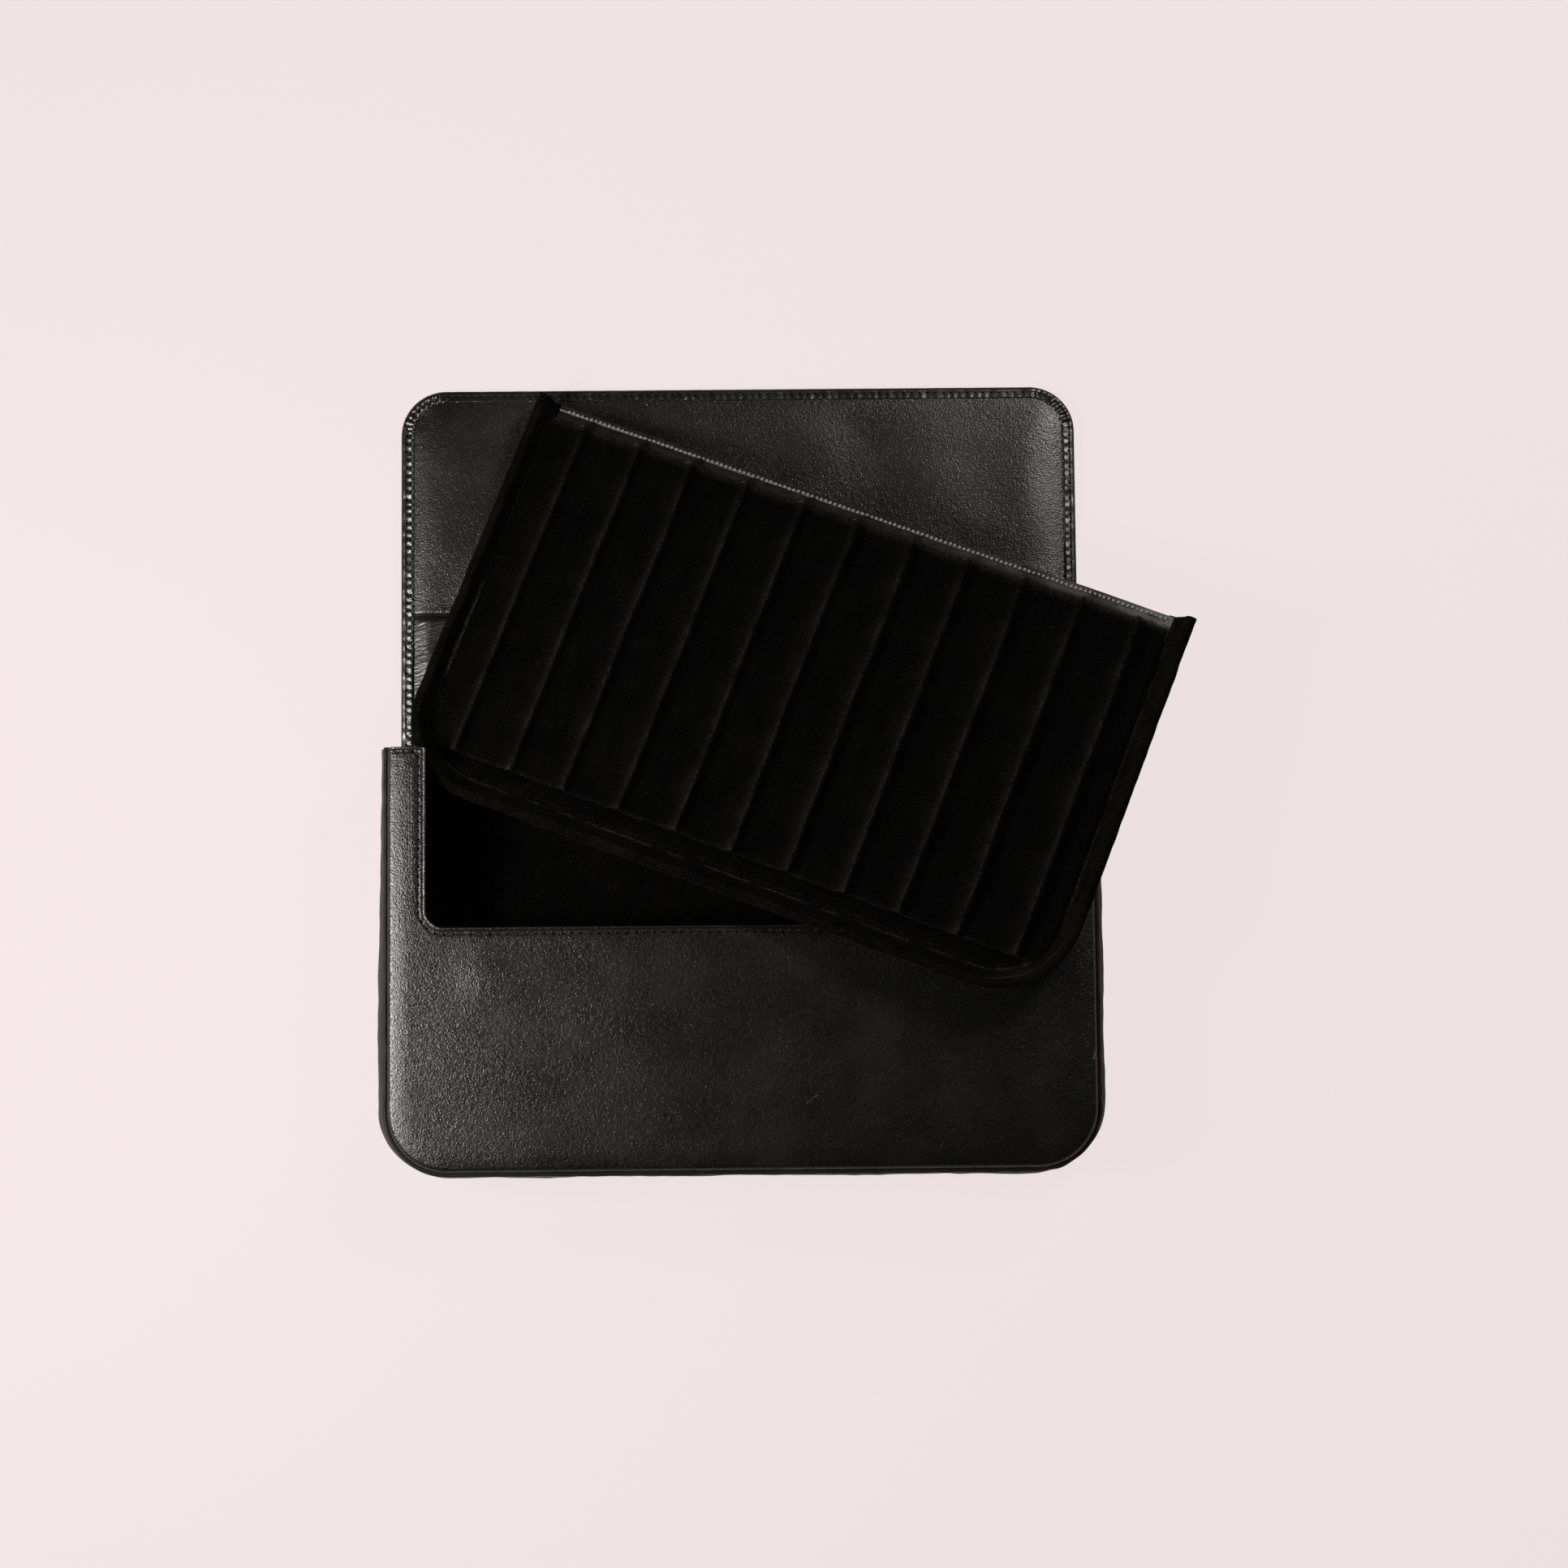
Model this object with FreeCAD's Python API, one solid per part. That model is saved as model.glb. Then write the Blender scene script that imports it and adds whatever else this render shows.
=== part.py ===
"""Leather jewellery case with a fold-over flap and a loose pleated tray, lying open on its back.

Millimetres. +Z points up from the back of the case, +Y from its bottom towards the open flap, and
the origin is the middle of the back face. The tray lies askew on the flap and the mouth of the case.
"""
import FreeCAD, Part
import math
import os

from FreeCAD import Placement, Rotation, Vector

# Sheet materials of the case and its flap
leather = 1.2
board = 1.1
lining = 0.7
edge_turn = 1.2  # leather turned down over the edge of a board
rolled_edge = 1.0  # radius or bevel of a turned leather edge

# Case, measured on its front panel
case_width = 234.0
case_length = 140.6
case_depth = 34.0
case_corner = 20.0
back_margin = 1.0  # how far the back panel shows past the front one
limb_width = 13.0  # of the front panel, on each side of its wide cut-out
cutout_depth = 60.0
cutout_corner = 6.0
gusset_bulge = 3.8  # how far the soft side wall bows out
welt_tape = 0.8
welt_bead = 1.5
welt_stand = 0.7  # middle of the bead, outside the panel's edge
bead_sides = 7
bow_sides = 3  # flats that make up the inner side of the bowed wall

# Flap, measured as it lies open
flap_inset = 0.9  # how much narrower than the front panel, on each side
flap_reach = 126.0  # from the mouth of the case to the flap's far edge
flap_corner = 15.5
fold_gap = 0.6  # from the mouth of the case to the first fold
closed_gap = 0.4  # between the closed flap and the front panel
binding_leaf = 4.0
binding_leather = 0.7
binding_wall = 0.9
binding_lift = 0.3  # lower edge of the binding, above the table
binding_round = 0.6
pocket_setback = 48.4  # from the mouth of the case to the mouth of the flap pocket
pocket_gap = 0.2  # between the binding and the pocket panel
pocket_slit = 0.5
pocket_foam = 0.7
pocket_leather = 0.8
pocket_seam = 3.0  # sewn margin on three sides of the pocket
pocket_hem = 5.0  # turned hem at the pocket's mouth
pocket_round = 1.2

# Tray, measured round its rim, which fits inside the bowed gusset with these clearances
tray_side_gap = 0.9
tray_set_in = 2.1  # from the mouth of the case to the lip of the tray when it is put away
tray_corner = 29.0
tray_height = 10.5
tray_splay = 3.0  # how far the walls lean out from foot to rim
tray_cover = 1.0
tray_board = 1.4
tray_edge = 0.7  # bevel round the underside
wall_suede = 0.9
wall_board = 1.6
wall_foam_top = 0.4
wall_foam_foot = 1.5
rim_crown = 1.5
rim_sides = 6
floor_suede = 0.6
lip_leather = 0.9
lip_sole = 0.2  # lower edge of the lip, above the underside of the tray
lip_reach = 1.5  # how far the lip stands out past the ends of the walls
lip_depth = 9.0  # how far the lip runs in over the floor
lip_leaf = 0.8
lip_round = 0.6

# Pleated pad on the floor of the tray
pleat_count = 11
pleat_end_gap = 10.9  # from the foot of a side wall to the first pleat
pleat_height = 4.0
pleat_base = 3.4
pleat_thickness = 1.9
pleat_flare = 1.2  # height over which a pleat narrows from its base
pad_side_gap = 1.2
pad_bottom_gap = 7.0  # from the foot of the bottom wall to the pad's free edge
pad_overlap = 3.5  # how far the pad lies over the lip
pad_suede = 0.7

# How the loose tray lies on the open case
tray_heading = -21.6  # degrees, seen from above
limb_heading = 23.5  # degrees, from the left limb's inner corner to the centre of the tray's corner
tray_tuck = 4.2  # how far the tray's corner reaches in under the left limb
rest_gap = 0.4  # clearance under the tray where it rests
pose_rounds = 30  # rounds in which the resting place settles

# Heights and lines that follow from the sizes above
panel = leather + board + lining
fold_height = panel + binding_leather
pocket_top = panel + pocket_slit + pocket_foam + pocket_leather
mouth = case_length / 2
cutout_half = case_width / 2 - limb_width
first_fold = mouth + fold_gap
spine_length = case_depth + closed_gap + pocket_top - 2 * fold_height
second_fold = first_fold + spine_length
flap_end = mouth + flap_reach
pocket_mouth = mouth + pocket_setback
room_past_panel = gusset_bulge - leather - lining - tray_side_gap
tray_half = case_width / 2 + room_past_panel
tray_front = (case_length + room_past_panel - tray_set_in) / 2
floor_low = tray_cover + tray_board
floor_top = floor_low + floor_suede
lip_top = floor_top + lip_leaf
wall_top = tray_height - rim_crown
board_foot = -wall_suede - tray_splay * (wall_top - floor_low) / (wall_top - tray_cover)
foam_foot = board_foot - wall_board - wall_foam_foot
floor_half = tray_half + foam_foot - wall_suede
flat = 1e-6  # two heights or lines closer than this are the same


class Outline:
    """A flat panel with a square open end and two round corners at its closed end."""

    def __init__(self, half_width, open_end, closed_end, corner):
        self.half_width = half_width
        self.open_end = open_end
        self.closed_end = closed_end
        self.corner = corner
        self.toward = math.copysign(1.0, closed_end - open_end)

    def inset(self, sides, end=0.0):
        """The outline drawn in by `sides` on its three edges, and by `end` at its open end."""
        return Outline(self.half_width - sides, self.open_end + self.toward * end,
                       self.closed_end - self.toward * sides, self.corner - sides)

    def bend(self):
        """The line across the panel where its round corners start."""
        return self.closed_end - self.toward * self.corner

    def face(self):
        """The whole panel as a flat face."""
        right = self.half_width
        inner = self.half_width - self.corner
        swing = self.corner * math.sqrt(0.5)
        middle = Vector(inner + swing, self.bend() + self.toward * swing, 0)
        half = [Vector(right, self.open_end, 0), Vector(right, self.bend(), 0), middle,
                Vector(inner, self.closed_end, 0)]
        other = [Vector(-point.x, point.y, 0) for point in half]
        edges = [
            Part.makeLine(half[0], half[1]),
            Part.Arc(half[1], half[2], half[3]).toShape(),
            Part.makeLine(half[3], other[3]),
            Part.Arc(other[3], other[2], other[1]).toShape(),
            Part.makeLine(other[1], other[0]),
            Part.makeLine(other[0], half[0]),
        ]
        return Part.Face(Part.Wire(edges))

    def sides(self, profile):
        """A profile run along the two straight sides only, as two solids."""
        start = profile.translated(Vector(self.half_width, self.open_end, 0))
        right = start.extrude(Vector(0, self.bend() - self.open_end, 0))
        return [right, right.mirror(Vector(), Vector(1, 0, 0))]

    def band(self, profile):
        """A profile swept along one side, round the closed end and back along the other side."""
        pivot = Vector(self.half_width - self.corner, self.bend(), 0)
        axis = Vector(0, 0, self.toward)
        start = profile.translated(Vector(self.half_width, self.bend(), 0))
        turn = start.revolve(pivot, axis, 90)
        across = start.rotated(pivot, axis, 90).extrude(Vector(-2 * pivot.x, 0, 0))
        runs = self.sides(profile) + [turn, turn.mirror(Vector(), Vector(1, 0, 0))]
        return across.fuse(runs).removeSplitter()


def profile_face(points, curves=None):
    """A closed profile of (outward offset, height) points; curves gives an edge's middle point."""
    corners = [Vector(offset, 0, height) for offset, height in points]
    edges = []
    for index, start in enumerate(corners):
        end = corners[(index + 1) % len(corners)]
        if curves and index in curves:
            offset, height = curves[index]
            edges.append(Part.Arc(start, Vector(offset, 0, height), end).toShape())
        else:
            edges.append(Part.makeLine(start, end))
    return Part.Face(Part.Wire(edges))


def arc_points(start, end, bulge, sides):
    """The ends and between them the corners of a row of flats along an arc that bulges to the right."""
    along = (Vector(*end, 0) - Vector(*start, 0)).normalize()
    half = math.dist(start, end) / 2
    radius = (half ** 2 + bulge ** 2) / (2 * bulge)
    sweep = 2 * math.atan2(bulge, half)
    right = Vector(along.y, -along.x, 0)
    centre = Vector(*start, 0) + along * half + right * (bulge - radius)
    points = []
    for step in range(sides + 1):
        angle = sweep * (2 * step / sides - 1)
        point = centre + (right * math.cos(angle) + along * math.sin(angle)) * radius
        points.append((point.x, point.y))
    return points


def slab(face, low, high):
    """A flat face raised between two heights."""
    return face.translated(Vector(0, 0, low)).extrude(Vector(0, 0, high - low))


def plate(half_width, start, end, low, high):
    """A rectangular plate from side to side, between two lines and two heights."""
    return Part.makeBox(2 * half_width, end - start, high - low, Vector(-half_width, start, low))


def level_edges(shape, height, square_end=None):
    """The edges that lie at one height, apart from any along the square end."""
    chosen = []
    for edge in shape.Edges:
        box = edge.BoundBox
        level = abs(box.ZMin - height) < flat and abs(box.ZMax - height) < flat
        at_end = square_end is not None and abs(box.YMin - square_end) + box.YLength < flat
        if level and not at_end:
            chosen.append(edge)
    return chosen


def rounded(shape, height, radius):
    """A solid with the edges at one height rounded."""
    return shape.makeFillet(radius, level_edges(shape, height))


front = Outline(case_width / 2, mouth, -mouth, case_corner)
back = Outline(case_width / 2 + back_margin, first_fold, -mouth - back_margin, case_corner + back_margin)
flap = Outline(case_width / 2 - flap_inset, second_fold, flap_end, flap_corner)
tray = Outline(tray_half, tray_front, -tray_front, tray_corner)


def back_panel():
    """The back of the case: leather turned up over a board, lined on the inside."""
    inner = back.inset(edge_turn)
    cover = slab(back.face(), 0, panel)
    cover = cover.makeChamfer(rolled_edge, level_edges(cover, 0, first_fold))
    return {
        "back_cover": cover.cut(slab(inner.face(), leather, panel)),
        "back_board": slab(inner.face(), leather, leather + board),
        "back_lining": slab(inner.face(), leather + board, panel),
    }


def front_face(inset):
    """The front panel with its wide cut-out, drawn in on every edge."""
    cutout = Outline(cutout_half, mouth + cutout_depth, mouth - cutout_depth, cutout_corner)
    return front.inset(inset, inset).face().cut(cutout.inset(-inset).face())


def front_panel():
    """The front of the case, with a limb on each side of the cut-out."""
    low = case_depth - panel
    inner = front_face(edge_turn)
    cover = rounded(slab(front_face(0), low, case_depth), case_depth, rolled_edge)
    return {
        "front_cover": cover.cut(slab(inner, low, case_depth - leather)),
        "front_board": slab(inner, low + lining, case_depth - leather),
        "front_lining": slab(inner, low, low + lining),
    }


def side_wall():
    """The soft gusset between the panels: leather, lined on the inside, bowed out at half its height."""
    low = panel + welt_tape
    high = case_depth - low
    seam = arc_points((-leather, low), (-leather, high), gusset_bulge, bow_sides)
    inner = [(offset - lining, height) for offset, height in seam]
    outer = profile_face([(0, low), (0, high)] + seam[::-1], {0: (gusset_bulge, case_depth / 2)})
    return {
        "gusset": front.band(outer),
        "gusset_lining": front.band(profile_face(seam + inner[::-1])),
    }


def welt(stand, height):
    """A corded welt: a flat tape sewn into the seam, with a round bead outside it."""
    half = welt_tape / 2
    root = stand - math.sqrt((welt_bead / 2) ** 2 - half ** 2)
    bead = arc_points((root, height - half), (root, height + half), stand + welt_bead / 2 - root, bead_sides)
    return front.band(profile_face([(-panel, height - half)] + bead + [(-panel, height + half)]))


def welts():
    """The welts that join the gusset to the two panels."""
    seam = panel + welt_tape / 2
    return {
        "front_welt": welt(welt_stand, case_depth - seam),
        "back_welt": welt(welt_stand + back_margin, seam),
    }


def binding_profile():
    """The edge binding: an outer wall and a leaf that lies on the lining."""
    lower = fold_height - binding_round
    bow = binding_round * (1 - math.sqrt(0.5))
    points = [(0, binding_lift), (0, lower), (-binding_round, fold_height), (-binding_leaf, fold_height),
              (-binding_leaf, panel), (-binding_wall, panel), (-binding_wall, binding_lift)]
    return profile_face(points, {1: (-bow, fold_height - bow)})


def spine():
    """The soft strip between the two folds, which becomes the top of the closed case."""
    half = flap.half_width - binding_wall
    edge = Outline(flap.half_width, first_fold, second_fold, 0)
    return {
        "spine_cover": plate(half, first_fold, second_fold, 0, leather),
        "spine_felt": plate(half, first_fold, second_fold, leather, leather + board),
        "spine_lining": plate(half, first_fold, second_fold, leather + board, panel),
        "spine_binding": Part.makeCompound(edge.sides(binding_profile())),
    }


def flap_panel():
    """The flap: soft next to its fold, and stiff behind the pocket."""
    sheet = flap.inset(binding_wall)
    stiff = Outline(sheet.half_width, pocket_mouth, sheet.closed_end, sheet.corner)
    return {
        "flap_cover": slab(sheet.face(), 0, leather),
        "flap_felt": plate(sheet.half_width, second_fold, pocket_mouth, leather, leather + board),
        "flap_board": slab(stiff.face(), leather, leather + board),
        "flap_lining": slab(sheet.face(), leather + board, panel),
        "flap_binding": flap.band(binding_profile()),
    }


def flap_pocket():
    """The padded leather pocket on the inside of the flap, open towards the case."""
    margin = binding_leaf + pocket_gap
    rim = flap.inset(margin)
    outer = Outline(rim.half_width, pocket_mouth, rim.closed_end, rim.corner)
    room = outer.inset(pocket_seam)
    foam_low = panel + pocket_slit
    foam_top = foam_low + pocket_foam
    foam = slab(outer.inset(pocket_seam, pocket_hem).face(), foam_low, foam_top)
    shell = rounded(slab(outer.face(), panel, pocket_top), pocket_top, pocket_round)
    return {
        "pocket_panel": shell.cut(slab(room.face(), panel, foam_low)).cut(foam),
        "pocket_padding": foam,
    }


def tray_base():
    """The stiff bottom of the tray, with the suede of its floor."""
    behind = tray_front - lip_leather
    foot = tray.inset(tray_splay, lip_leather)
    cover = slab(foot.face(), 0, tray_cover)
    floor = tray.inset(tray.half_width - floor_half, lip_leather)
    return {
        "tray_base_cover": cover.makeChamfer(tray_edge, level_edges(cover, 0, behind)),
        "tray_base_board": slab(foot.inset(wall_suede).face(), tray_cover, floor_low),
        "tray_floor_lining": slab(floor.face(), floor_low, floor_top),
    }


def tray_walls():
    """The padded wall on three sides: a board, a foam wedge and suede folded over both."""
    edge = tray.inset(0, lip_reach)
    board_in = -wall_suede - wall_board
    foam_in = board_in - wall_foam_top
    face_in = foam_in - wall_suede
    rim = arc_points((0, wall_top), (face_in, wall_top), rim_crown, rim_sides)
    suede = rim + [(foam_foot - wall_suede, floor_low), (foam_foot, floor_low), (foam_in, wall_top),
                   (-wall_suede, wall_top), (-tray_splay - wall_suede, tray_cover),
                   (-tray_splay, tray_cover)]
    stiff = [(board_foot, floor_low), (-wall_suede, wall_top), (board_in, wall_top),
             (board_foot - wall_board, floor_low)]
    foam = [(board_foot - wall_board, floor_low), (board_in, wall_top), (foam_in, wall_top),
            (foam_foot, floor_low)]
    return {
        "tray_wall_suede": edge.band(profile_face(suede)),
        "tray_wall_board": edge.band(profile_face(stiff)),
        "tray_wall_padding": edge.band(profile_face(foam)),
    }


def tray_lip():
    """The leather lip across the open end, folded from the front over the floor."""
    behind = tray_front - lip_leather
    facing = plate(floor_half, behind, tray_front, lip_sole, lip_top)
    leaf = plate(floor_half, tray_front - lip_depth, tray_front, floor_top, lip_top)
    lip = facing.fuse(leaf).removeSplitter()
    upper = [edge for edge in lip.Edges if edge.BoundBox.ZMin > lip_top - flat]
    nose = [edge for edge in upper if edge.BoundBox.YMin > behind]
    return {"lip_facing": lip.makeFillet(lip_round, nose)}


def pleat_profile():
    """One pinched pleat: a flared foot, a thin fin and a round top."""
    foot = pleat_base / 2
    fin = pleat_thickness / 2
    low = lip_top + pad_suede
    top = low + pleat_height
    return profile_face([(-foot, low), (foot, low), (fin, low + pleat_flare), (fin, top - fin),
                         (-fin, top - fin), (-fin, low + pleat_flare)], {3: (0, top)})


def pleated_pad():
    """The pad on the floor: a backing, a suede sheet over it and the row of pleats."""
    room = tray.inset(tray_half - floor_half + pad_side_gap).face()
    start = tray_half - floor_half - tray_front + pad_bottom_gap
    inner_end = tray_front - lip_depth
    end = inner_end + pad_overlap
    pitch = 2 * (floor_half - pleat_end_gap) / (pleat_count - 1)
    run = Vector(0, end - start, 0)
    sheet_top = lip_top + pad_suede
    row = []
    for index in range(pleat_count):
        across = (index - (pleat_count - 1) / 2) * pitch
        row.append(pleat_profile().translated(Vector(across, start, 0)).extrude(run))
    backing = plate(floor_half, start, inner_end, floor_top, lip_top)
    sheet = plate(floor_half, start, end, lip_top, sheet_top)
    return {
        "pleat_backing": backing.common(slab(room, floor_top, lip_top)),
        "pleat_sheet": sheet.common(slab(room, lip_top, sheet_top)),
        "pleats": Part.makeCompound(row),
    }


def heading(angle):
    """The level direction at an angle in degrees, seen from above."""
    return Vector(math.cos(math.radians(angle)), math.sin(math.radians(angle)), 0)


def resting_place():
    """Where the loose tray lies: on the flap, on the right limb and on the cut-out's lower edge.

    Its rounded corner reaches in under the left limb, which fixes its place seen from above.
    """
    limb_corner = Vector(-cutout_half, mouth, 0)
    tray_corner_over = limb_corner + heading(limb_heading) * (tray.corner - tray_tuck)
    corner_centre = Vector(-tray.half_width + tray.corner, -tray_front + tray.corner, wall_top)
    on_limb = Vector(cutout_half, mouth, case_depth + rest_gap)
    normal = Vector(0, 0, 1)
    for _ in range(pose_rounds):
        across = heading(tray_heading)
        across = (across - normal * across.dot(normal)).normalize()
        turn = Rotation(across, normal.cross(across), normal, "ZXY")
        base = tray_corner_over - turn.multVec(corner_centre)
        on_flap = base + turn.multVec(Vector(tray_splay - tray.half_width, tray_front, 0))
        on_flap.z = pocket_top + rest_gap
        edge = base + turn.multVec(Vector(0, tray_splay - tray_front, 0))
        on_cutout = edge + across * ((mouth - cutout_depth - edge.y) / across.y)
        on_cutout.z = case_depth + rest_gap
        normal = (on_cutout - on_flap).cross(on_limb - on_flap).normalize()
        aside = base - on_flap
        base.z = on_flap.z - (normal.x * aside.x + normal.y * aside.y) / normal.z
    return Placement(base, turn)


os.makedirs("parts", exist_ok=True)
pieces = {**back_panel(), **front_panel(), **side_wall(), **welts()}
pieces.update({**spine(), **flap_panel(), **flap_pocket()})
place = resting_place()
for name, shape in {**tray_base(), **tray_walls(), **tray_lip(), **pleated_pad()}.items():
    shape.Placement = place.multiply(shape.Placement)
    pieces[name] = shape
for name, shape in pieces.items():
    shape.exportStep("parts/" + name + ".step")
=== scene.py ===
"""Looks of the leather jewellery case: its meshes, finishes, light and camera.

Lengths are millimetres until a mesh is made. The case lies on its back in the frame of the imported
model, with +Z up from the table and +Y towards the open flap. The loose tray has a frame of its own.
"""

import math

import bmesh
import bpy
import numpy as np
from mathutils import Matrix, Vector, geometry


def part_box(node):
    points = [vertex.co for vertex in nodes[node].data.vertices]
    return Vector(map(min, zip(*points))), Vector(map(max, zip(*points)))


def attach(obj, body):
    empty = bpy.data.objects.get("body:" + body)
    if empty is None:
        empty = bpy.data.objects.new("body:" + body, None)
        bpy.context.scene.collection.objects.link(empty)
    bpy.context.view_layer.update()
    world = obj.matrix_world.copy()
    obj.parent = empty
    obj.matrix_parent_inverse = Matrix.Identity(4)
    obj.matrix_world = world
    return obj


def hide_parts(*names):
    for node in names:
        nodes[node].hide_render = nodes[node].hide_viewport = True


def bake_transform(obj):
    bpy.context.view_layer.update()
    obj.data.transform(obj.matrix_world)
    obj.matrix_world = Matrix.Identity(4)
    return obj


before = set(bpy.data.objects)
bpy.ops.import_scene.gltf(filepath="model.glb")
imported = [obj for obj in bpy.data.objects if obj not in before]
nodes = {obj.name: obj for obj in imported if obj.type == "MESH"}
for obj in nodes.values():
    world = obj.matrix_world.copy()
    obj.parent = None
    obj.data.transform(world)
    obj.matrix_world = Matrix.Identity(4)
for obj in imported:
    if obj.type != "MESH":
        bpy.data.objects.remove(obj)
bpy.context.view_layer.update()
metre = 1000.0  # millimetres
sharp_angle = 50.0  # degrees, above which two faces meet in a crisp edge


def node_box(name):
    """Lowest and highest corner of a CAD node."""
    low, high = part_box(name)
    return np.array(low) * metre, np.array(high) * metre


# Case
front_low, front_high = node_box("front_cover")
back_low, back_high = node_box("back_cover")
half_case = front_high[0]
mouth = front_high[1]
case_top = front_high[2]
case_foot = back_high[2]
case_corner = 20.0
limb_width = 13.0
cutout_depth = 60.0
cutout_corner = 6.0
half_cutout = half_case - limb_width
cutout_foot = mouth - cutout_depth
limb_round = 1.6
back_half = back_high[0]
back_corner = case_corner + back_half - half_case

# Flap
flap_low, flap_high = node_box("flap_binding")
_, sheet_high = node_box("flap_lining")
spine_low, spine_high = node_box("spine_cover")
pocket_low, pocket_high = node_box("pocket_panel")
half_flap = flap_high[0]
flap_end = flap_high[1]
flap_corner = 15.5
first_fold = spine_low[1]
second_fold = spine_high[1]
lining_top = sheet_high[2]
binding_top = flap_high[2]
binding_leaf = 4.4
sheet_half = sheet_high[0]
sheet_corner = flap_corner - (half_flap - sheet_half)
pocket_corner = flap_corner - (half_flap - pocket_high[0])
spine_seam = (first_fold + second_fold) / 2  # where the skin of the spine is parted
flap_seam = second_fold + 17.0  # where the skin of the flap starts, under the pocket
fold_half = 5.9  # half the width set for the skin's bend at the second fold; the pieces are not bent
first_bend = 10.0  # width set for its bend at the first fold


wave_spread = (0.6, 1.7)  # shortest and longest wave, as shares of the length asked for


def wave_sum(across, along, length, seed, count=9):
    """A smooth uneven surface of about unit height, made of waves about one length long."""
    draw = np.random.default_rng(seed)
    total = np.zeros(np.broadcast(across, along).shape)
    for _ in range(count):
        heading = draw.uniform(0, math.tau)
        number = math.tau / (length * draw.uniform(*wave_spread))
        phase = draw.uniform(0, math.tau)
        total += np.sin(number * (across * math.cos(heading) + along * math.sin(heading)) + phase)
    return total / math.sqrt(count)


def waves(across, along, *parts):
    """Uneven surfaces added up, each by its height, the length of its waves and its seed."""
    return sum(height * wave_sum(across, along, length, seed) for height, length, seed in parts)


def wander(along, *parts):
    """Uneven lines added up, each by its height, the length of its waves and its seed."""
    return waves(along, 0 * along, *parts)


def bump(distance, width):
    """A soft bump of unit height."""
    return np.exp(-(distance / width) ** 2)


def ease(value):
    """A smooth step from 0 to 1."""
    share = np.clip(value, 0, 1)
    return share * share * (3 - 2 * share)


def level(height):
    """A flat face at one height, as a function of place."""
    return lambda x, y: np.full(np.shape(x), height)


class Loop:
    """A closed outline of straight runs and round corners, anticlockwise seen from above."""

    def __init__(self, corners):
        self.corners = corners

    def runs(self):
        """Each corner with the directions of the runs before and after it."""
        count = len(self.corners)
        for index, (x, y, radius) in enumerate(self.corners):
            here = np.array([x, y])
            before = here - np.array(self.corners[index - 1][:2])
            after = np.array(self.corners[(index + 1) % count][:2]) - here
            yield here, before / np.linalg.norm(before), after / np.linalg.norm(after), radius

    def inset(self, distance):
        """The outline drawn in on every side."""
        moved = []
        least = 0.02
        for here, before, after, radius in self.runs():
            left_before = np.array([-before[1], before[0]])
            left_after = np.array([-after[1], after[0]])
            shift = distance * (left_before + left_after) / (1 + left_before @ left_after)
            turn = np.sign(before[0] * after[1] - before[1] * after[0])
            moved.append((*(here + shift), max(radius - turn * distance, least)))
        return Loop(moved)

    def points(self, step):
        """Points along the outline about one step apart."""
        arcs = []
        fewest = 3
        for here, before, after, radius in self.runs():
            turn = math.atan2(before[0] * after[1] - before[1] * after[0], before @ after)
            reach = radius * math.tan(abs(turn) / 2)
            side = math.copysign(1.0, turn)
            centre = here - before * reach + side * radius * np.array([-before[1], before[0]])
            start = math.atan2(before[1], before[0]) - side * math.pi / 2
            count = max(fewest, math.ceil(abs(turn) * radius / step))
            angles = start + turn * np.linspace(0, 1, count + 1)
            arcs.append(centre + radius * np.stack([np.cos(angles), np.sin(angles)], 1))
        made = []
        for index, arc in enumerate(arcs):
            following = arcs[(index + 1) % len(arcs)][0]
            count = max(1, round(np.linalg.norm(following - arc[-1]) / step))
            run = arc[-1] + (following - arc[-1]) * (np.arange(1, count) / count)[:, None]
            made += [arc, run]
        return np.vstack(made)


class Track:
    """A line up one side of a panel, round its closed end and down the other side.

    It starts at the right-hand end. `outward` points away from the panel, and `length` runs along it.
    """

    def __init__(self, half, open_end, closed_end, corner, step, stops=()):
        toward = math.copysign(1.0, closed_end - open_end)
        turn_start = closed_end - toward * corner
        side = [open_end, *stops, turn_start]
        points = []
        outward = []
        for start, end in zip(side, side[1:]):
            count = max(1, round(abs(end - start) / step))
            for y in np.linspace(start, end, count, endpoint=False):
                points.append((half, y))
                outward.append((1.0, 0.0))
        fewest = 8
        turns = max(fewest, round(corner * math.pi / 2 / step))
        for angle in np.linspace(0, math.pi / 2, turns, endpoint=False):
            way = (math.cos(angle), toward * math.sin(angle))
            points.append((half - corner + corner * way[0], turn_start + corner * way[1]))
            outward.append(way)
        count = round((half - corner) / step)
        for x in np.linspace(half - corner, 0, count, endpoint=False):
            points.append((x, closed_end))
            outward.append((0.0, toward))
        mirror = np.array([-1.0, 1.0])
        right = np.array(points)
        ways = np.array(outward)
        middle = np.array([[0.0, closed_end]])
        self.points = np.vstack([right, middle, (right * mirror)[::-1]])
        self.outward = np.vstack([ways, [[0.0, toward]], (ways * mirror)[::-1]])
        steps = np.linalg.norm(np.diff(self.points, axis=0), axis=1)
        self.length = np.concatenate([[0.0], np.cumsum(steps)])
        self.turning = np.abs(self.outward[:, 0] * self.outward[:, 1]) * 2

    def sweep(self, profile):
        """Points of a profile carried along the track: rows along it, columns of offset and height."""
        profile = np.broadcast_to(profile, (len(self.points), *profile.shape[-2:]))
        flat = self.points[:, None] + self.outward[:, None] * profile[..., :1]
        return np.concatenate([flat, profile[..., 1:]], axis=2)

    def line(self, offset, height):
        """A line beside the track, at one height or at a height for each point."""
        flat = self.points + self.outward * offset
        return np.column_stack([flat, np.broadcast_to(height, len(flat))])


def strip(offset, height):
    """Part of a section along a track, for Track.sweep: offsets and heights with rows along the track."""
    return np.stack(np.broadcast_arrays(offset, height), 2)


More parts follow.
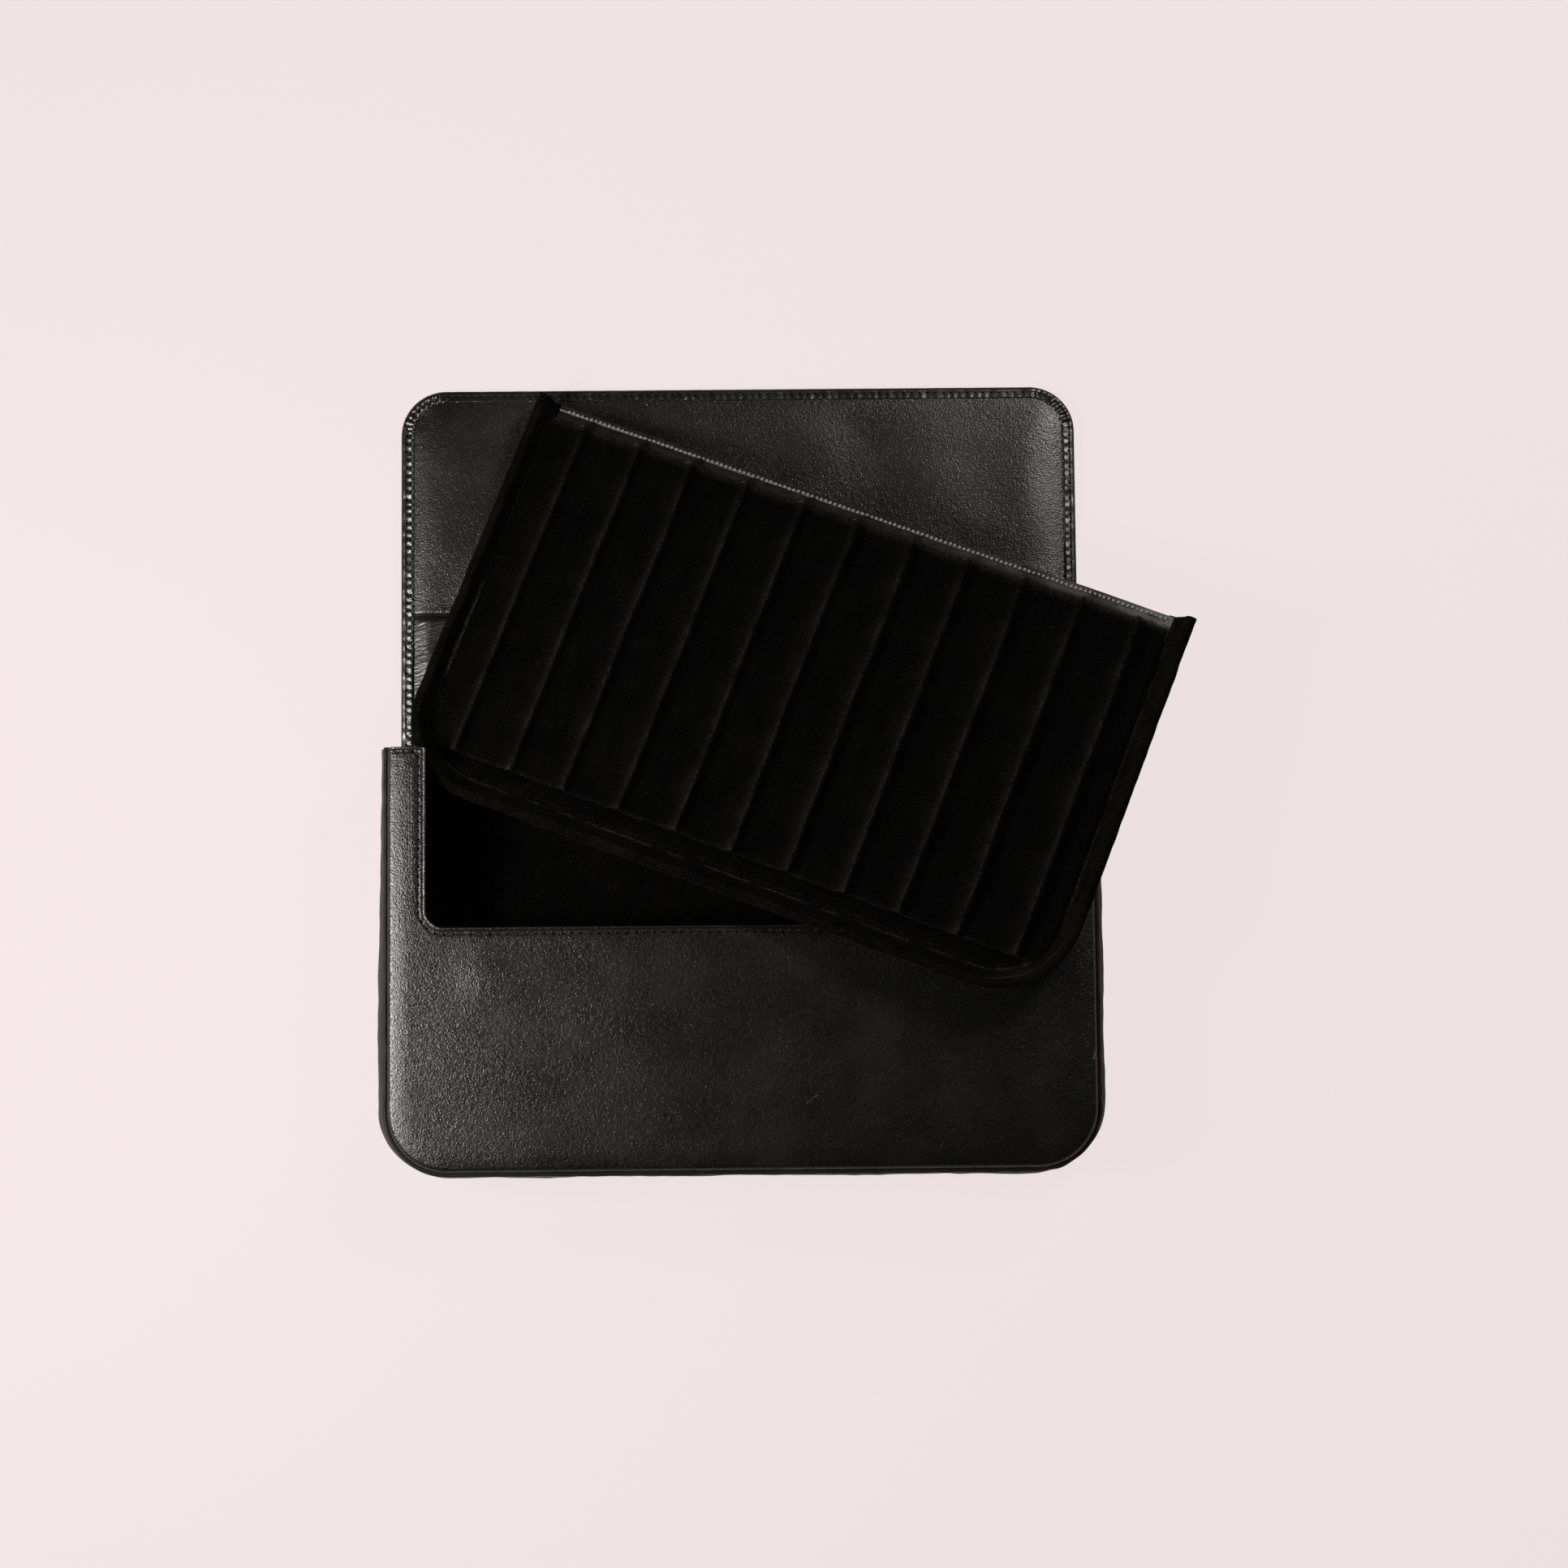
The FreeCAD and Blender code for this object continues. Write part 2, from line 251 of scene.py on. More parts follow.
def tube(rows):
    """Points and faces of a closed profile in rows, capped at both ends."""
    count, sides = rows.shape[:2]
    faces = []
    for row in range(count - 1):
        for side in range(sides):
            after = (side + 1) % sides
            low = row * sides
            high = low + sides
            faces.append((low + side, high + side, high + after, low + after))
    faces.append(tuple(range(sides)))
    faces.append(tuple(range((count - 1) * sides, count * sides))[::-1])
    return rows.reshape(-1, 3), faces


def sheet(rows):
    """Points and faces of an open sheet in rows and columns."""
    count, sides = rows.shape[:2]
    faces = []
    for row in range(count - 1):
        for side in range(sides - 1):
            low = row * sides + side
            high = low + sides
            faces.append((low, low + 1, high + 1, high))
    return rows.reshape(-1, 3), faces


def joined(parts):
    """Several sets of points and faces as one."""
    points = []
    faces = []
    for part_points, part_faces in parts:
        start = sum(len(one) for one in points)
        points.append(part_points)
        faces += [tuple(start + index for index in face) for face in part_faces]
    return np.vstack(points), faces


def inside(points, outline):
    """Which points lie inside a closed outline."""
    hit = np.zeros(len(points), bool)
    for start, end in zip(outline, np.roll(outline, -1, axis=0)):
        if start[1] == end[1]:
            continue
        crosses = (start[1] > points[:, 1]) != (end[1] > points[:, 1])
        where = start[0] + (points[:, 1] - start[1]) * (end[0] - start[0]) / (end[1] - start[1])
        hit ^= crosses & (points[:, 0] < where)
    return hit


def panel(loop, insets, step, pitch, height, foot):
    """Points and faces of a panel: its shaped face, its edge and a flat cap at the foot.

    The face has rows of points at the insets along its edge and an even grid inside them.
    """
    rows = [loop.inset(distance).points(step) for distance in insets]
    inner = loop.inset(insets[-1] + pitch / 2).points(step)
    low, high = inner.min(0), inner.max(0)
    spread = [np.arange(low[axis], high[axis], pitch) for axis in (0, 1)]
    grid = np.stack(np.meshgrid(*spread), -1).reshape(-1, 2)
    spots = [Vector(point) for point in np.vstack([*rows, grid[inside(grid, inner)]])]
    rim_count = len(rows[0])
    rim_edges = [(index, (index + 1) % rim_count) for index in range(rim_count)]
    within_rim = 1  # the kind of result that leaves out faces beyond the rim
    same = 1e-5  # points closer than this are one
    made, _, cells, sources, _, _ = geometry.delaunay_2d_cdt(spots, rim_edges, [], within_rim, same)
    flat = np.array([tuple(point) for point in made])
    place = {source: index for index, merged in enumerate(sources) for source in merged}
    rim = [place[index] for index in range(rim_count)]
    top = np.column_stack([flat, height(flat[:, 0], flat[:, 1])])
    below = np.column_stack([flat[rim], np.full(rim_count, foot)])
    faces = [tuple(cell) for cell in cells]
    first = len(flat)
    for index in range(rim_count):
        after = (index + 1) % rim_count
        faces.append((rim[index], first + index, first + after, rim[after]))
    faces.append(tuple(range(first, first + rim_count))[::-1])
    return np.vstack([top, below]), faces


def plate(x_low, x_high, y_low, y_high, step, top, under):
    """Points and faces of a closed rectangular plate with a shaped upper and lower face."""
    columns = max(2, round((x_high - x_low) / step))
    lines = max(2, round((y_high - y_low) / step))
    across, along = np.meshgrid(np.linspace(x_low, x_high, columns), np.linspace(y_low, y_high, lines))
    points, faces = sheet(np.stack([across, along, top(across, along)], 2))
    low_points, low_faces = sheet(np.stack([across, along, under(across, along)], 2))
    first = len(points)
    faces += [tuple(first + index for index in face)[::-1] for face in low_faces]
    grid = np.arange(first).reshape(lines, columns)
    rim = [*grid[0, :-1], *grid[:-1, -1], *grid[-1, :0:-1], *grid[:0:-1, 0]]
    for index, here in enumerate(rim):
        after = rim[(index + 1) % len(rim)]
        faces.append((int(here), first + int(here), first + int(after), int(after)))
    return np.vstack([points, low_points]), faces


def tray_place():
    """The tray's frame, measured on its base: across, towards the lip and up, from its underside."""
    base = nodes["tray_base_cover"].data
    facing_up = 0.9
    up = sum((face.normal * face.area for face in base.polygons if face.normal.z > facing_up), Vector())
    up = np.array(up.normalized())
    lip = np.array([tuple(point.co) for point in nodes["lip_facing"].data.vertices])
    across = np.linalg.svd(lip - lip.mean(0))[2][0]
    across *= np.sign(across[0])
    across -= up * (across @ up)
    across /= np.linalg.norm(across)
    turn = np.column_stack([across, np.cross(up, across), up])
    local = np.array([tuple(point.co) for point in base.vertices]) @ turn * metre
    middle = (local.min(0) + local.max(0)) / 2
    middle[2] = local[:, 2].min()
    place = np.eye(4)
    place[:3, :3] = turn
    place[:3, 3] = turn @ middle
    return place


tray = tray_place()


def tray_box(name):
    """Lowest and highest corner of a CAD node in the tray's frame."""
    points = np.array([tuple(point.co) for point in nodes[name].data.vertices]) * metre
    local = (points - tray[:3, 3]) @ tray[:3, :3]
    return local.min(0), local.max(0)


# Tray, in its own frame
wall_low, wall_high = tray_box("tray_wall_suede")
lip_low, lip_high = tray_box("lip_facing")
pad_low, pad_high = tray_box("pleat_sheet")
pleats_low, pleats_high = tray_box("pleats")
half_tray = wall_high[0]
tray_corner = 29.0
rim_top = wall_high[2]
floor_top = tray_box("tray_floor_lining")[1][2]
wall_foot = wall_low[2]
tray_foot = wall_low[1]


def make_piece(name, shape, finish, place=None):
    """A piece of the object from points in millimetres and faces, with faces that point outwards."""
    points, faces = shape
    if place is not None:
        points = points @ place[:3, :3].T + place[:3, 3]
    mesh = bpy.data.meshes.new(name)
    mesh.from_pydata((points / metre).tolist(), [], faces)
    work = bmesh.new()
    work.from_mesh(mesh)
    bmesh.ops.recalc_face_normals(work, faces=work.faces)
    work.to_mesh(mesh)
    work.free()
    mesh.polygons.foreach_set("use_smooth", [True] * len(mesh.polygons))
    mesh.set_sharp_from_angle(angle=math.radians(sharp_angle))
    mesh.materials.append(finish)
    piece = bpy.data.objects.new(name, mesh)
    bpy.context.scene.collection.objects.link(piece)
    return piece


def mark(piece, name, values):
    """A number for each point of a piece, for its finish to read."""
    attribute = piece.data.attributes.new(name, "FLOAT", "POINT")
    attribute.data.foreach_set("value", np.asarray(values, np.float32).ravel())


def add_node(tree, kind, settings=None, sockets=None):
    """A new node of a tree: its type, its settings, and the values or links of its sockets."""
    made = tree.nodes.new(kind)
    for name, value in (settings or {}).items():
        setattr(made, name, value)
    for key, value in (sockets or {}).items():
        if isinstance(value, bpy.types.NodeSocket):
            tree.links.new(value, made.inputs[key])
        else:
            made.inputs[key].default_value = value
    return made


class Value:
    """An output of a finish's nodes. Arithmetic on it adds Math nodes."""

    def __init__(self, finish, socket):
        self.finish = finish
        self.socket = socket

    def math(self, operation, first, second):
        """A Math node of two numbers or outputs."""
        return self.finish.node("ShaderNodeMath", {"operation": operation}, {0: first, 1: second})

    def __add__(self, other):
        return self.math("ADD", self, other)

    def __radd__(self, other):
        return self.math("ADD", other, self)

    def __sub__(self, other):
        return self.math("SUBTRACT", self, other)

    def __rsub__(self, other):
        return self.math("SUBTRACT", other, self)

    def __mul__(self, other):
        return self.math("MULTIPLY", self, other)

    def __rmul__(self, other):
        return self.math("MULTIPLY", other, self)

    def __truediv__(self, other):
        return self.math("DIVIDE", self, other)

    def __pow__(self, other):
        return self.math("POWER", self, other)

    def __lt__(self, other):
        return self.math("LESS_THAN", self, other)

    def __gt__(self, other):
        return self.math("GREATER_THAN", self, other)

    def __abs__(self):
        return self.math("ABSOLUTE", self, 0.0)


class Finish:
    """A material built from nodes, on the piece's own coordinates."""

    def __init__(self, name, **constants):
        self.material = bpy.data.materials.new(name)
        self.material.use_nodes = True
        self.tree = self.material.node_tree
        self.shader = next(node for node in self.tree.nodes if node.type == "BSDF_PRINCIPLED")
        for socket, value in constants.items():
            self.shader.inputs[socket.replace("_", " ")].default_value = value
        self.place = self.node("ShaderNodeTexCoord", output="Object")

    def node(self, kind, settings=None, sockets=None, output=0):
        """One output of a new node: its type, its settings, and the values or links of its sockets."""
        plain = {key: value.socket if isinstance(value, Value) else value
                 for key, value in (sockets or {}).items()}
        return Value(self, add_node(self.tree, kind, settings, plain).outputs[output])

    def noise(self, size, detail=2.0, place=None, roughness=0.5):
        """Even noise with features of about one size in millimetres."""
        sockets = {"Vector": place or self.place, "Scale": metre / size, "Detail": detail,
                   "Roughness": roughness}
        return self.node("ShaderNodeTexNoise", {"noise_dimensions": "3D"}, sockets)

    def cells(self, size, output="Distance"):
        """Rounded cells of about one size in millimetres."""
        sockets = {"Vector": self.place, "Scale": metre / size}
        return self.node("ShaderNodeTexVoronoi", {"feature": "F1"}, sockets, output)

    def drawn_out(self, length, heading):
        """Coordinates in which a pattern is some times longer along a heading, in degrees from X to Y."""
        return self.node("ShaderNodeMapping", {"vector_type": "TEXTURE"},
                         {"Vector": self.place, "Rotation": (0.0, 0.0, math.radians(heading)),
                          "Scale": (length, 1.0, 1.0)})

    def attribute(self, name):
        """The number that a piece carries at each point."""
        return self.node("ShaderNodeAttribute", {"attribute_name": name}, None, "Fac")

    def ramp(self, value, low, high):
        """A value taken smoothly from 0 at low to 1 at high."""
        return self.node("ShaderNodeMapRange", {"interpolation_type": "SMOOTHSTEP"},
                         {"Value": value, "From Min": low, "From Max": high})

    def mix(self, share, first, second):
        """One colour taken towards another by a share."""
        return self.node("ShaderNodeMix", {"data_type": "RGBA"}, {0: share, 6: first, 7: second}, 2)

    def set(self, socket, value):
        """Feed an input of the shader."""
        self.tree.links.new(value.socket, self.shader.inputs[socket])

    def bump(self, height, depth, before=None):
        """A bump of a depth in millimetres, on top of the one before it."""
        sockets = {"Height": height, "Strength": 1.0, "Distance": depth / metre}
        if before is not None:
            sockets["Normal"] = before
        return self.node("ShaderNodeBump", None, sockets)


def grey(value, warmth=0.0):
    """A dark neutral colour, a little warm or cool."""
    return (value * (1 + warmth), value, value * (1 - warmth), 1.0)


# Marks on the front panel: two ends in millimetres, width, how pale they are and how deep they are torn
front_marks = (
    ((-112.3, -7.8), (-110.7, -12.4), 0.34, 0.9, 1.0), ((-110.7, -12.4), (-107.2, -17.8), 0.28, 0.7, 1.0),
    ((-110.4, -17.2), (-109.4, -19.0), 0.36, 0.8, 1.0), ((-86.6, -18.5), (-83.9, -16.4), 0.18, 0.25, 0.5),
    ((20.8, -48.6), (24.2, -46.0), 0.32, 0.5, 1.0), ((-44.0, -34.3), (-17.3, -34.6), 0.20, 0.0, 0.4),
    ((-107.4, -53.0), (-105.8, -55.2), 0.32, 0.5, 1.0), ((115.4, -34.6), (116.6, -32.0), 0.40, 0.9, 1.0),
    ((-109.2, 64.0), (-108.9, 22.5), 0.26, 0.08, 0.3), ((-110.0, 60.0), (-109.7, 30.0), 0.20, 0.05, 0.2),
    ((-108.7, 25.8), (-107.4, 18.5), 0.22, 0.12, 0.6), ((-108.5, 14.5), (-102.9, 6.7), 0.28, 0.08, 0.5),
    ((-107.0, 16.5), (-104.6, 20.5), 0.28, 0.12, 0.6))
# A patch of fine creases at the top of the left limb: its middle, half its size, and their spacing
limb_creases = (-114.0, 64.8, 2.6, 1.5, 0.85)


def nicks(finish):
    """Where the front panel is nicked or creased, and where such a mark is pale."""
    x, y = (finish.node("ShaderNodeSeparateXYZ", None, {0: finish.place}, axis) * metre for axis in (0, 1))
    tear_size, tear_reach = 0.9, 0.5
    mark_core, patch_core = 0.3, 0.6  # shares of the width that are at full strength
    ragged = (finish.noise(tear_size) - 0.5) * tear_reach
    groove = bared = 0.0
    for start, end, width, light, torn in front_marks:
        run, rise = end[0] - start[0], end[1] - start[1]
        share = ((x - start[0]) * run + (y - start[1]) * rise) / (run ** 2 + rise ** 2)
        share = share.math("MAXIMUM", share.math("MINIMUM", share, 1.0), 0.0)
        away = ((x - start[0] - share * run) ** 2.0 + (y - start[1] - share * rise) ** 2.0) ** 0.5
        mask = finish.ramp(away + ragged * torn ** 2, width, width * mark_core)
        groove = mask * torn + groove
        bared = mask * light + bared
    middle_x, middle_y, half_x, half_y, spacing = limb_creases
    patch = (finish.ramp(abs(x - middle_x), half_x, half_x * patch_core)
             * finish.ramp(abs(y - middle_y), half_y, half_y * patch_core))
    rows, columns = (axis.math("SINE", (axis + ragged) * (math.tau / spacing), 0.0) for axis in (y, x))
    row_start, column_start, column_share = -0.3, 0.0, 0.5
    ripple = finish.ramp(rows, row_start, 1.0) + finish.ramp(columns, column_start, 1.0) * column_share
    ripple = ripple * patch
    ripple_depth, ripple_light = 0.35, 0.15
    return groove + ripple * ripple_depth, bared + ripple * ripple_light


# Leather: sizes and depths in millimetres. Hairs and wrinkles are drawn out along a heading.
pebble_size = 0.5
pore_size = 0.45
mottle_size = 1.6
cloud_size = 9.0
patch_size = 26.0
hair_size, hair_length, hair_heading = 0.5, 22.0, 60.0
wrinkle_size, wrinkle_length, wrinkle_heading = 1.0, 8.0, 15.0
mottle_depth = 0.12
groove_depth = 0.20
torn_hide = grey(0.06, warmth=0.02)
# The pale of chafed leather, which on the lip also stands in for a painted highlight
chafed_and_highlit_hide = grey(0.16, warmth=0.03)


def leather(name, tone, roughness, grain_depth, scuffs=0.0, marked=False, worn="", creases=0.0, gloss=0.5):
    """Smooth black leather: fine pebbled grain, mottled tone, rubbed patches and hairline scuffs."""
    finish = Finish(name, Specular_IOR_Level=gloss)
    pebble = finish.cells(pebble_size)
    pores = finish.noise(pore_size)
    patches = finish.noise(patch_size, detail=4.0)
    clouds = finish.noise(cloud_size, detail=3.0)
    pebble_relief, pore_relief = 0.8, 0.9
    grain = pebble * pebble_relief + pores * pore_relief
    rubbed = finish.ramp(patches, low=0.40, high=0.64)
    rubbed_tone, pore_tone, cloud_tone = 0.4, 0.4, 0.2
    shade = rubbed * rubbed_tone + pores * pore_tone + clouds * cloud_tone
    if scuffs:
        hairs = finish.noise(hair_size, detail=1.0, place=finish.drawn_out(hair_length, hair_heading))
        scuffed = finish.ramp(hairs, low=0.69, high=0.74) * finish.ramp(clouds, low=0.52, high=0.62)
        shade = shade + scuffed * scuffs
    dark, light = 0.62 * tone, 1.5 * tone
    colour = finish.mix(shade, grey(dark, warmth=0.02), grey(light, warmth=0.03))
    if marked:
        groove, bared = nicks(finish)
        bared_share = 0.5
        colour = finish.mix(bared * bared_share, colour, torn_hide)
    # Paler where the piece is marked: partly chafed leather, partly a painted highlight
    if worn:
        cloud_patchiness, pore_patchiness = 0.6, 0.5
        broken = finish.ramp(clouds * cloud_patchiness + pores * pore_patchiness, low=0.38, high=0.72)
        colour = finish.mix(finish.attribute(worn) * broken, colour, chafed_and_highlit_hide)
    finish.set("Base Color", colour)
    cloud_rough, rubbed_rough, pore_rough, pebble_rough = 0.05, 0.03, 0.24, 0.06
    mean_rough = 0.19  # the mean of the uneven part
    uneven = clouds * cloud_rough + rubbed * rubbed_rough + pores * pore_rough + pebble * pebble_rough
    finish.set("Roughness", roughness - mean_rough + uneven)
    relief = finish.bump(finish.noise(mottle_size, detail=3.0, roughness=0.7), mottle_depth)
    if creases:
        wrinkles = finish.noise(wrinkle_size, 1.0, finish.drawn_out(wrinkle_length, wrinkle_heading))
        relief = finish.bump(wrinkles, creases, relief)
    if marked:
        relief = finish.bump(1.0 - groove, groove_depth, relief)
    finish.set("Normal", finish.bump(grain, grain_depth, relief))
    return finish.material


# Suede: sizes in millimetres. Streaks are drawn out along a heading.
fibre_size = 0.62
brushed_size = 11.0
streak_size, streak_length, streak_heading = 2.4, 4.5, 68.0
lint_spacing = 3.4
fibre_depth = 0.16
# The paler nap of a marked piece: worn nap on the tray wall, a painted highlight on the pad's ridges and
# cut ends
worn_and_highlit_nap = grey(0.10, warmth=0.02)
lint_grey = grey(0.014, warmth=0.06)


def suede(name, tone, marked="", wear_and_highlight_size=1.1, wear_and_highlight_from=0.2):
    """Black suede: brushed nap in streaks, soft sheen, lint, and a paler nap where marked: worn on the tray
    wall, a painted highlight on the pad.
    """
    finish = Finish(name, Specular_IOR_Level=0.02, Sheen_Weight=0.06, Sheen_Roughness=0.25,
                    Sheen_Tint=grey(0.6))
    fibre = finish.noise(fibre_size, detail=3.0, roughness=0.7)
    brushed = finish.noise(brushed_size, detail=3.0)
    streaks = finish.noise(streak_size, place=finish.drawn_out(streak_length, streak_heading))
    brushed_tone, streak_tone, fibre_tone = 0.45, 0.25, 1.3
    shade = brushed * brushed_tone + streaks * streak_tone + fibre * fibre_tone
    dark, light = 0.2 * tone, 3.2 * tone
    shade = finish.ramp(shade, low=0.80, high=1.20)
    colour = finish.mix(shade, grey(dark, warmth=0.03), grey(light, warmth=0.05))
    if marked:
        # The paler nap where marked: real wear on the tray wall, a painted highlight on the pad
        broken = finish.ramp(finish.noise(wear_and_highlight_size, detail=3.0), wear_and_highlight_from, high=0.7)
        colour = finish.mix(finish.attribute(marked) * broken, colour, worn_and_highlit_nap)
    speck_size, speck_share = 0.045, 0.5
    chosen = finish.node("ShaderNodeSeparateColor", None, {"Color": finish.cells(lint_spacing, "Color")})
    lint = (finish.cells(lint_spacing) < speck_size) * (chosen > speck_share)
    finish.set("Base Color", finish.mix(lint, colour, lint_grey))
    smoothest, uneven = 0.86, 0.14
    finish.set("Roughness", smoothest + fibre * uneven)
    finish.set("Normal", finish.bump(fibre, fibre_depth))
    return finish.material


def thread(name, tone, gloss, roughness):
    """Waxed sewing thread with a fine twist, or the painted shade of a needle hole."""
    finish = Finish(name, Specular_IOR_Level=gloss)
    twist_size, twist_depth, twist_rough = 0.25, 0.04, 0.2
    dark, light = 0.6 * tone, 1.5 * tone
    twist = finish.noise(twist_size, detail=1.0)
    finish.set("Base Color", finish.mix(twist, grey(dark), grey(light)))
    finish.set("Roughness", roughness + twist * twist_rough)
    finish.set("Normal", finish.bump(twist, twist_depth))
    return finish.material


def stuffing(name, tone, size):
    """Board, felt or foam that stays inside the piece."""
    finish = Finish(name, Specular_IOR_Level=0.2)
    fibre = finish.noise(size, detail=3.0)
    dark, light = 0.8 * tone, 1.15 * tone
    smoothest, uneven, fibre_relief = 0.85, 0.1, 0.1
    finish.set("Base Color", finish.mix(fibre, grey(dark, warmth=0.08), grey(light, warmth=0.06)))
    finish.set("Roughness", smoothest + fibre * uneven)
    finish.set("Normal", finish.bump(fibre, fibre_relief))
    return finish.material


case_leather = leather("case_leather", tone=0.0020, roughness=0.28, grain_depth=0.08, scuffs=0.5)
front_leather = leather("front_leather", tone=0.0020, roughness=0.29, grain_depth=0.08, scuffs=0.5,
                        marked=True, gloss=0.40)
gusset_leather = leather("gusset_leather", tone=0.008, roughness=0.44, grain_depth=0.03, gloss=0.07)
flap_leather = leather("flap_leather", tone=0.0020, roughness=0.32, grain_depth=0.08, gloss=0.48)
fold_leather = leather("fold_leather", tone=0.0020, roughness=0.34, grain_depth=0.018, creases=0.16)
binding_leather = leather("binding_leather", tone=0.003, roughness=0.33, grain_depth=0.018)
lip_leather = leather("lip_leather", tone=0.0015, roughness=0.45, grain_depth=0.018, scuffs=0.6,
                      worn="pale_share", gloss=0.2)
lining_suede = suede("lining_suede", tone=0.0006)
tray_suede = suede("tray_suede", tone=0.0008, marked="crease", wear_and_highlight_size=0.5, wear_and_highlight_from=0.44)
pad_suede = suede("pad_suede", tone=0.0004, marked="crest")
black_thread = thread("black_thread", tone=0.003, gloss=0.3, roughness=0.45)
waxed_thread = thread("waxed_thread", tone=0.09, gloss=0.6, roughness=0.25)
dull_thread = thread("dull_thread", tone=0.0006, gloss=0.02, roughness=0.8)
hole_shade = thread("hole_shade", tone=0.0006, gloss=0.02, roughness=0.8)
board_stock = stuffing("board_stock", tone=0.30, size=0.8)
felt_stock = stuffing("felt_stock", tone=0.22, size=0.5)


def ride(piece, body, slot, *replaced):
    """A piece that moves with a body and stands for CAD nodes, which are hidden; its slot is not used."""
    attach(piece, body)
    if replaced:
        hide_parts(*replaced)


def bend(piece, first, second, start, end, slot, *replaced):
    """A piece of skin between two lines across the case, baked where it lies and standing for CAD nodes; it
    is not made to bend, and its bodies and slot are not used.
    """
    start / metre
    end / metre
    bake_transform(piece)
    if replaced:
        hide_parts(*replaced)


# Rows of points along the edge of a panel, by their distance in from it
edge_rows = (0.0, 0.15, 0.35, 0.6, 0.8, 0.95, 1.1, 1.35, 1.65, 2.0, 2.25, 2.46, 2.7, 3.0, 3.5, 4.2, 5.1,
             6.1)
soft_rows = (0.0, 0.2, 0.5, 0.9, 1.4, 2.0, 2.8, 3.8, 5.0, 6.4)
pocket_rows = (0.0, 0.35, 0.8, 1.1, 1.65, 2.25, 2.7, 2.8, 3.8, 5.0, 6.4, 8.0, 9.6)
skin_tuck = 0.1  # how far the foot of a skin is tucked in
square_corner = 0.1  # radius of a corner that looks square


def roll(depth, radius):
    """How far a rolled edge has dropped at a depth in from it."""
    inward = np.clip(radius - depth, 0, radius)
    return radius - np.sqrt(np.maximum(radius ** 2 - inward ** 2, 0))


def box_depth(x, y, half, foot, corner):
    """How far points lie inside an upright U with round corners at its foot."""
    side = np.abs(x) - (half - corner)
    down = foot + corner - y
    outside = np.hypot(np.maximum(side, 0), np.maximum(down, 0))
    return corner - outside - np.minimum(np.maximum(side, down), 0)


# The sewn hem: a rolled rim, a groove, a ridge and the valley of the stitches, by depth in from the edge
hem_profile = ((0.5, 0.09, 0.28), (1.1, -0.15, 0.17), (1.75, 0.07, 0.30), (2.46, -0.15, 0.36))
hem_roll = 0.45
hem_drop = 0.26
hem_reach = 4.6
hem_curve = 1.3
stitch_inset = 2.46
top_hem = 1.45  # how much narrower the hem is along the tops of the limbs

# The front panel's rolled edge, soft shoulder, swell, dent and uneven face
front_roll = 1.7
shoulder_drop = 0.75
shoulder_reach = 8.0
swell_x, swell_y = -84.0, -7.0
swell_rise = 0.54
swell_left, swell_right, swell_length = 8.0, 26.0, 8.0
dent_x, dent_y = 8.0, -29.0
dent_depth = 0.16
dent_width = 7.0
dent_stretch = 1.6
front_waves = ((0.10, 70.0, 11), (0.012, 18.0, 12))


def front_height(x, y):
    """The front panel's face: rolled edges, soft shoulders, the sewn hem round the cut-out and dents."""
    outer = box_depth(x, y, half_case, -mouth, case_corner)
    cut = np.maximum(-box_depth(x, y, half_cutout, cutout_foot, cutout_corner), 0.0)
    on_limb = np.abs(x) > half_cutout
    hem = np.maximum(np.where(on_limb, np.minimum(cut, (mouth - y) * top_hem), cut), 0.0)
    height = case_top - roll(np.maximum(outer, 0), front_roll) - roll(hem, hem_roll)
    height -= shoulder_drop * np.clip(1 - outer / shoulder_reach, 0, 1) ** 2
    for place, rise, width in hem_profile:
        height += rise * bump(hem - place, width)
    height -= hem_drop * np.clip(1 - hem / hem_reach, 0, 1) ** hem_curve
    from_swell = x - swell_x
    swell_width = np.where(from_swell < 0, swell_left, swell_right)
    height += swell_rise * bump(y - swell_y, swell_length) * bump(from_swell, swell_width)
    height -= dent_depth * bump(np.hypot((x - dent_x) / dent_stretch, y - dent_y), dent_width)
    height += waves(x, y, *front_waves)
    return height


def front_panel():
    """The leather of the front panel with its wide cut-out."""
    loop = Loop([(-half_case, -mouth, case_corner), (half_case, -mouth, case_corner),
                 (half_case, mouth, limb_round), (half_cutout, mouth, limb_round),
                 (half_cutout, cutout_foot, cutout_corner), (-half_cutout, cutout_foot, cutout_corner),
                 (-half_cutout, mouth, limb_round), (-half_case, mouth, limb_round)])
    shape = panel(loop, edge_rows, step=0.9, pitch=1.3, height=front_height, foot=front_low[2] + skin_tuck)
    piece = make_piece("front_leather", shape, front_leather)
    ride(piece, "case", "case_leather", "front_cover")


def back_height(x, y):
    """The outside of the back: flat on the table, turned up at its three edges."""
    turned_edge = 1.2
    depth = np.maximum(box_depth(x, y, back_half, back_low[1], back_corner), 0)
    return back_low[2] + roll(depth, turned_edge)


def box_loop(half, start, end, start_corner, end_corner):
    """A panel across the case, with one size of corner at its start and another at its end."""
    return Loop([(-half, start, start_corner), (half, start, start_corner),
                 (half, end, end_corner), (-half, end, end_corner)])


def back_panel():
    """The leather of the back of the case."""
    loop = box_loop(back_half, back_low[1], first_fold, back_corner, square_corner)
    shape = panel(loop, soft_rows, step=1.4, pitch=3.0, height=back_height, foot=case_foot - skin_tuck)
    piece = make_piece("back_leather", shape, case_leather)
    ride(piece, "case", "case_leather", "back_cover")


# The gusset: how far it bows out on each side, its slack on the left and how far its corners are drawn in
bow_left = 3.6
bow_right = 3.85
bow_bottom = 2.45
left_slack = 1.2
slack_reach = 90.0
corner_draw = 0.6
broad_pulls = (0.22, 26.0, 21)
seam_pulls = (0.07, 7.0, 22)
pull_slant = 0.35
gusset_rows = 17
skin_depth = 1.2
lining_depth = 1.9
cord_waves = (0.10, 9.0, 31)  # in the welts beside it


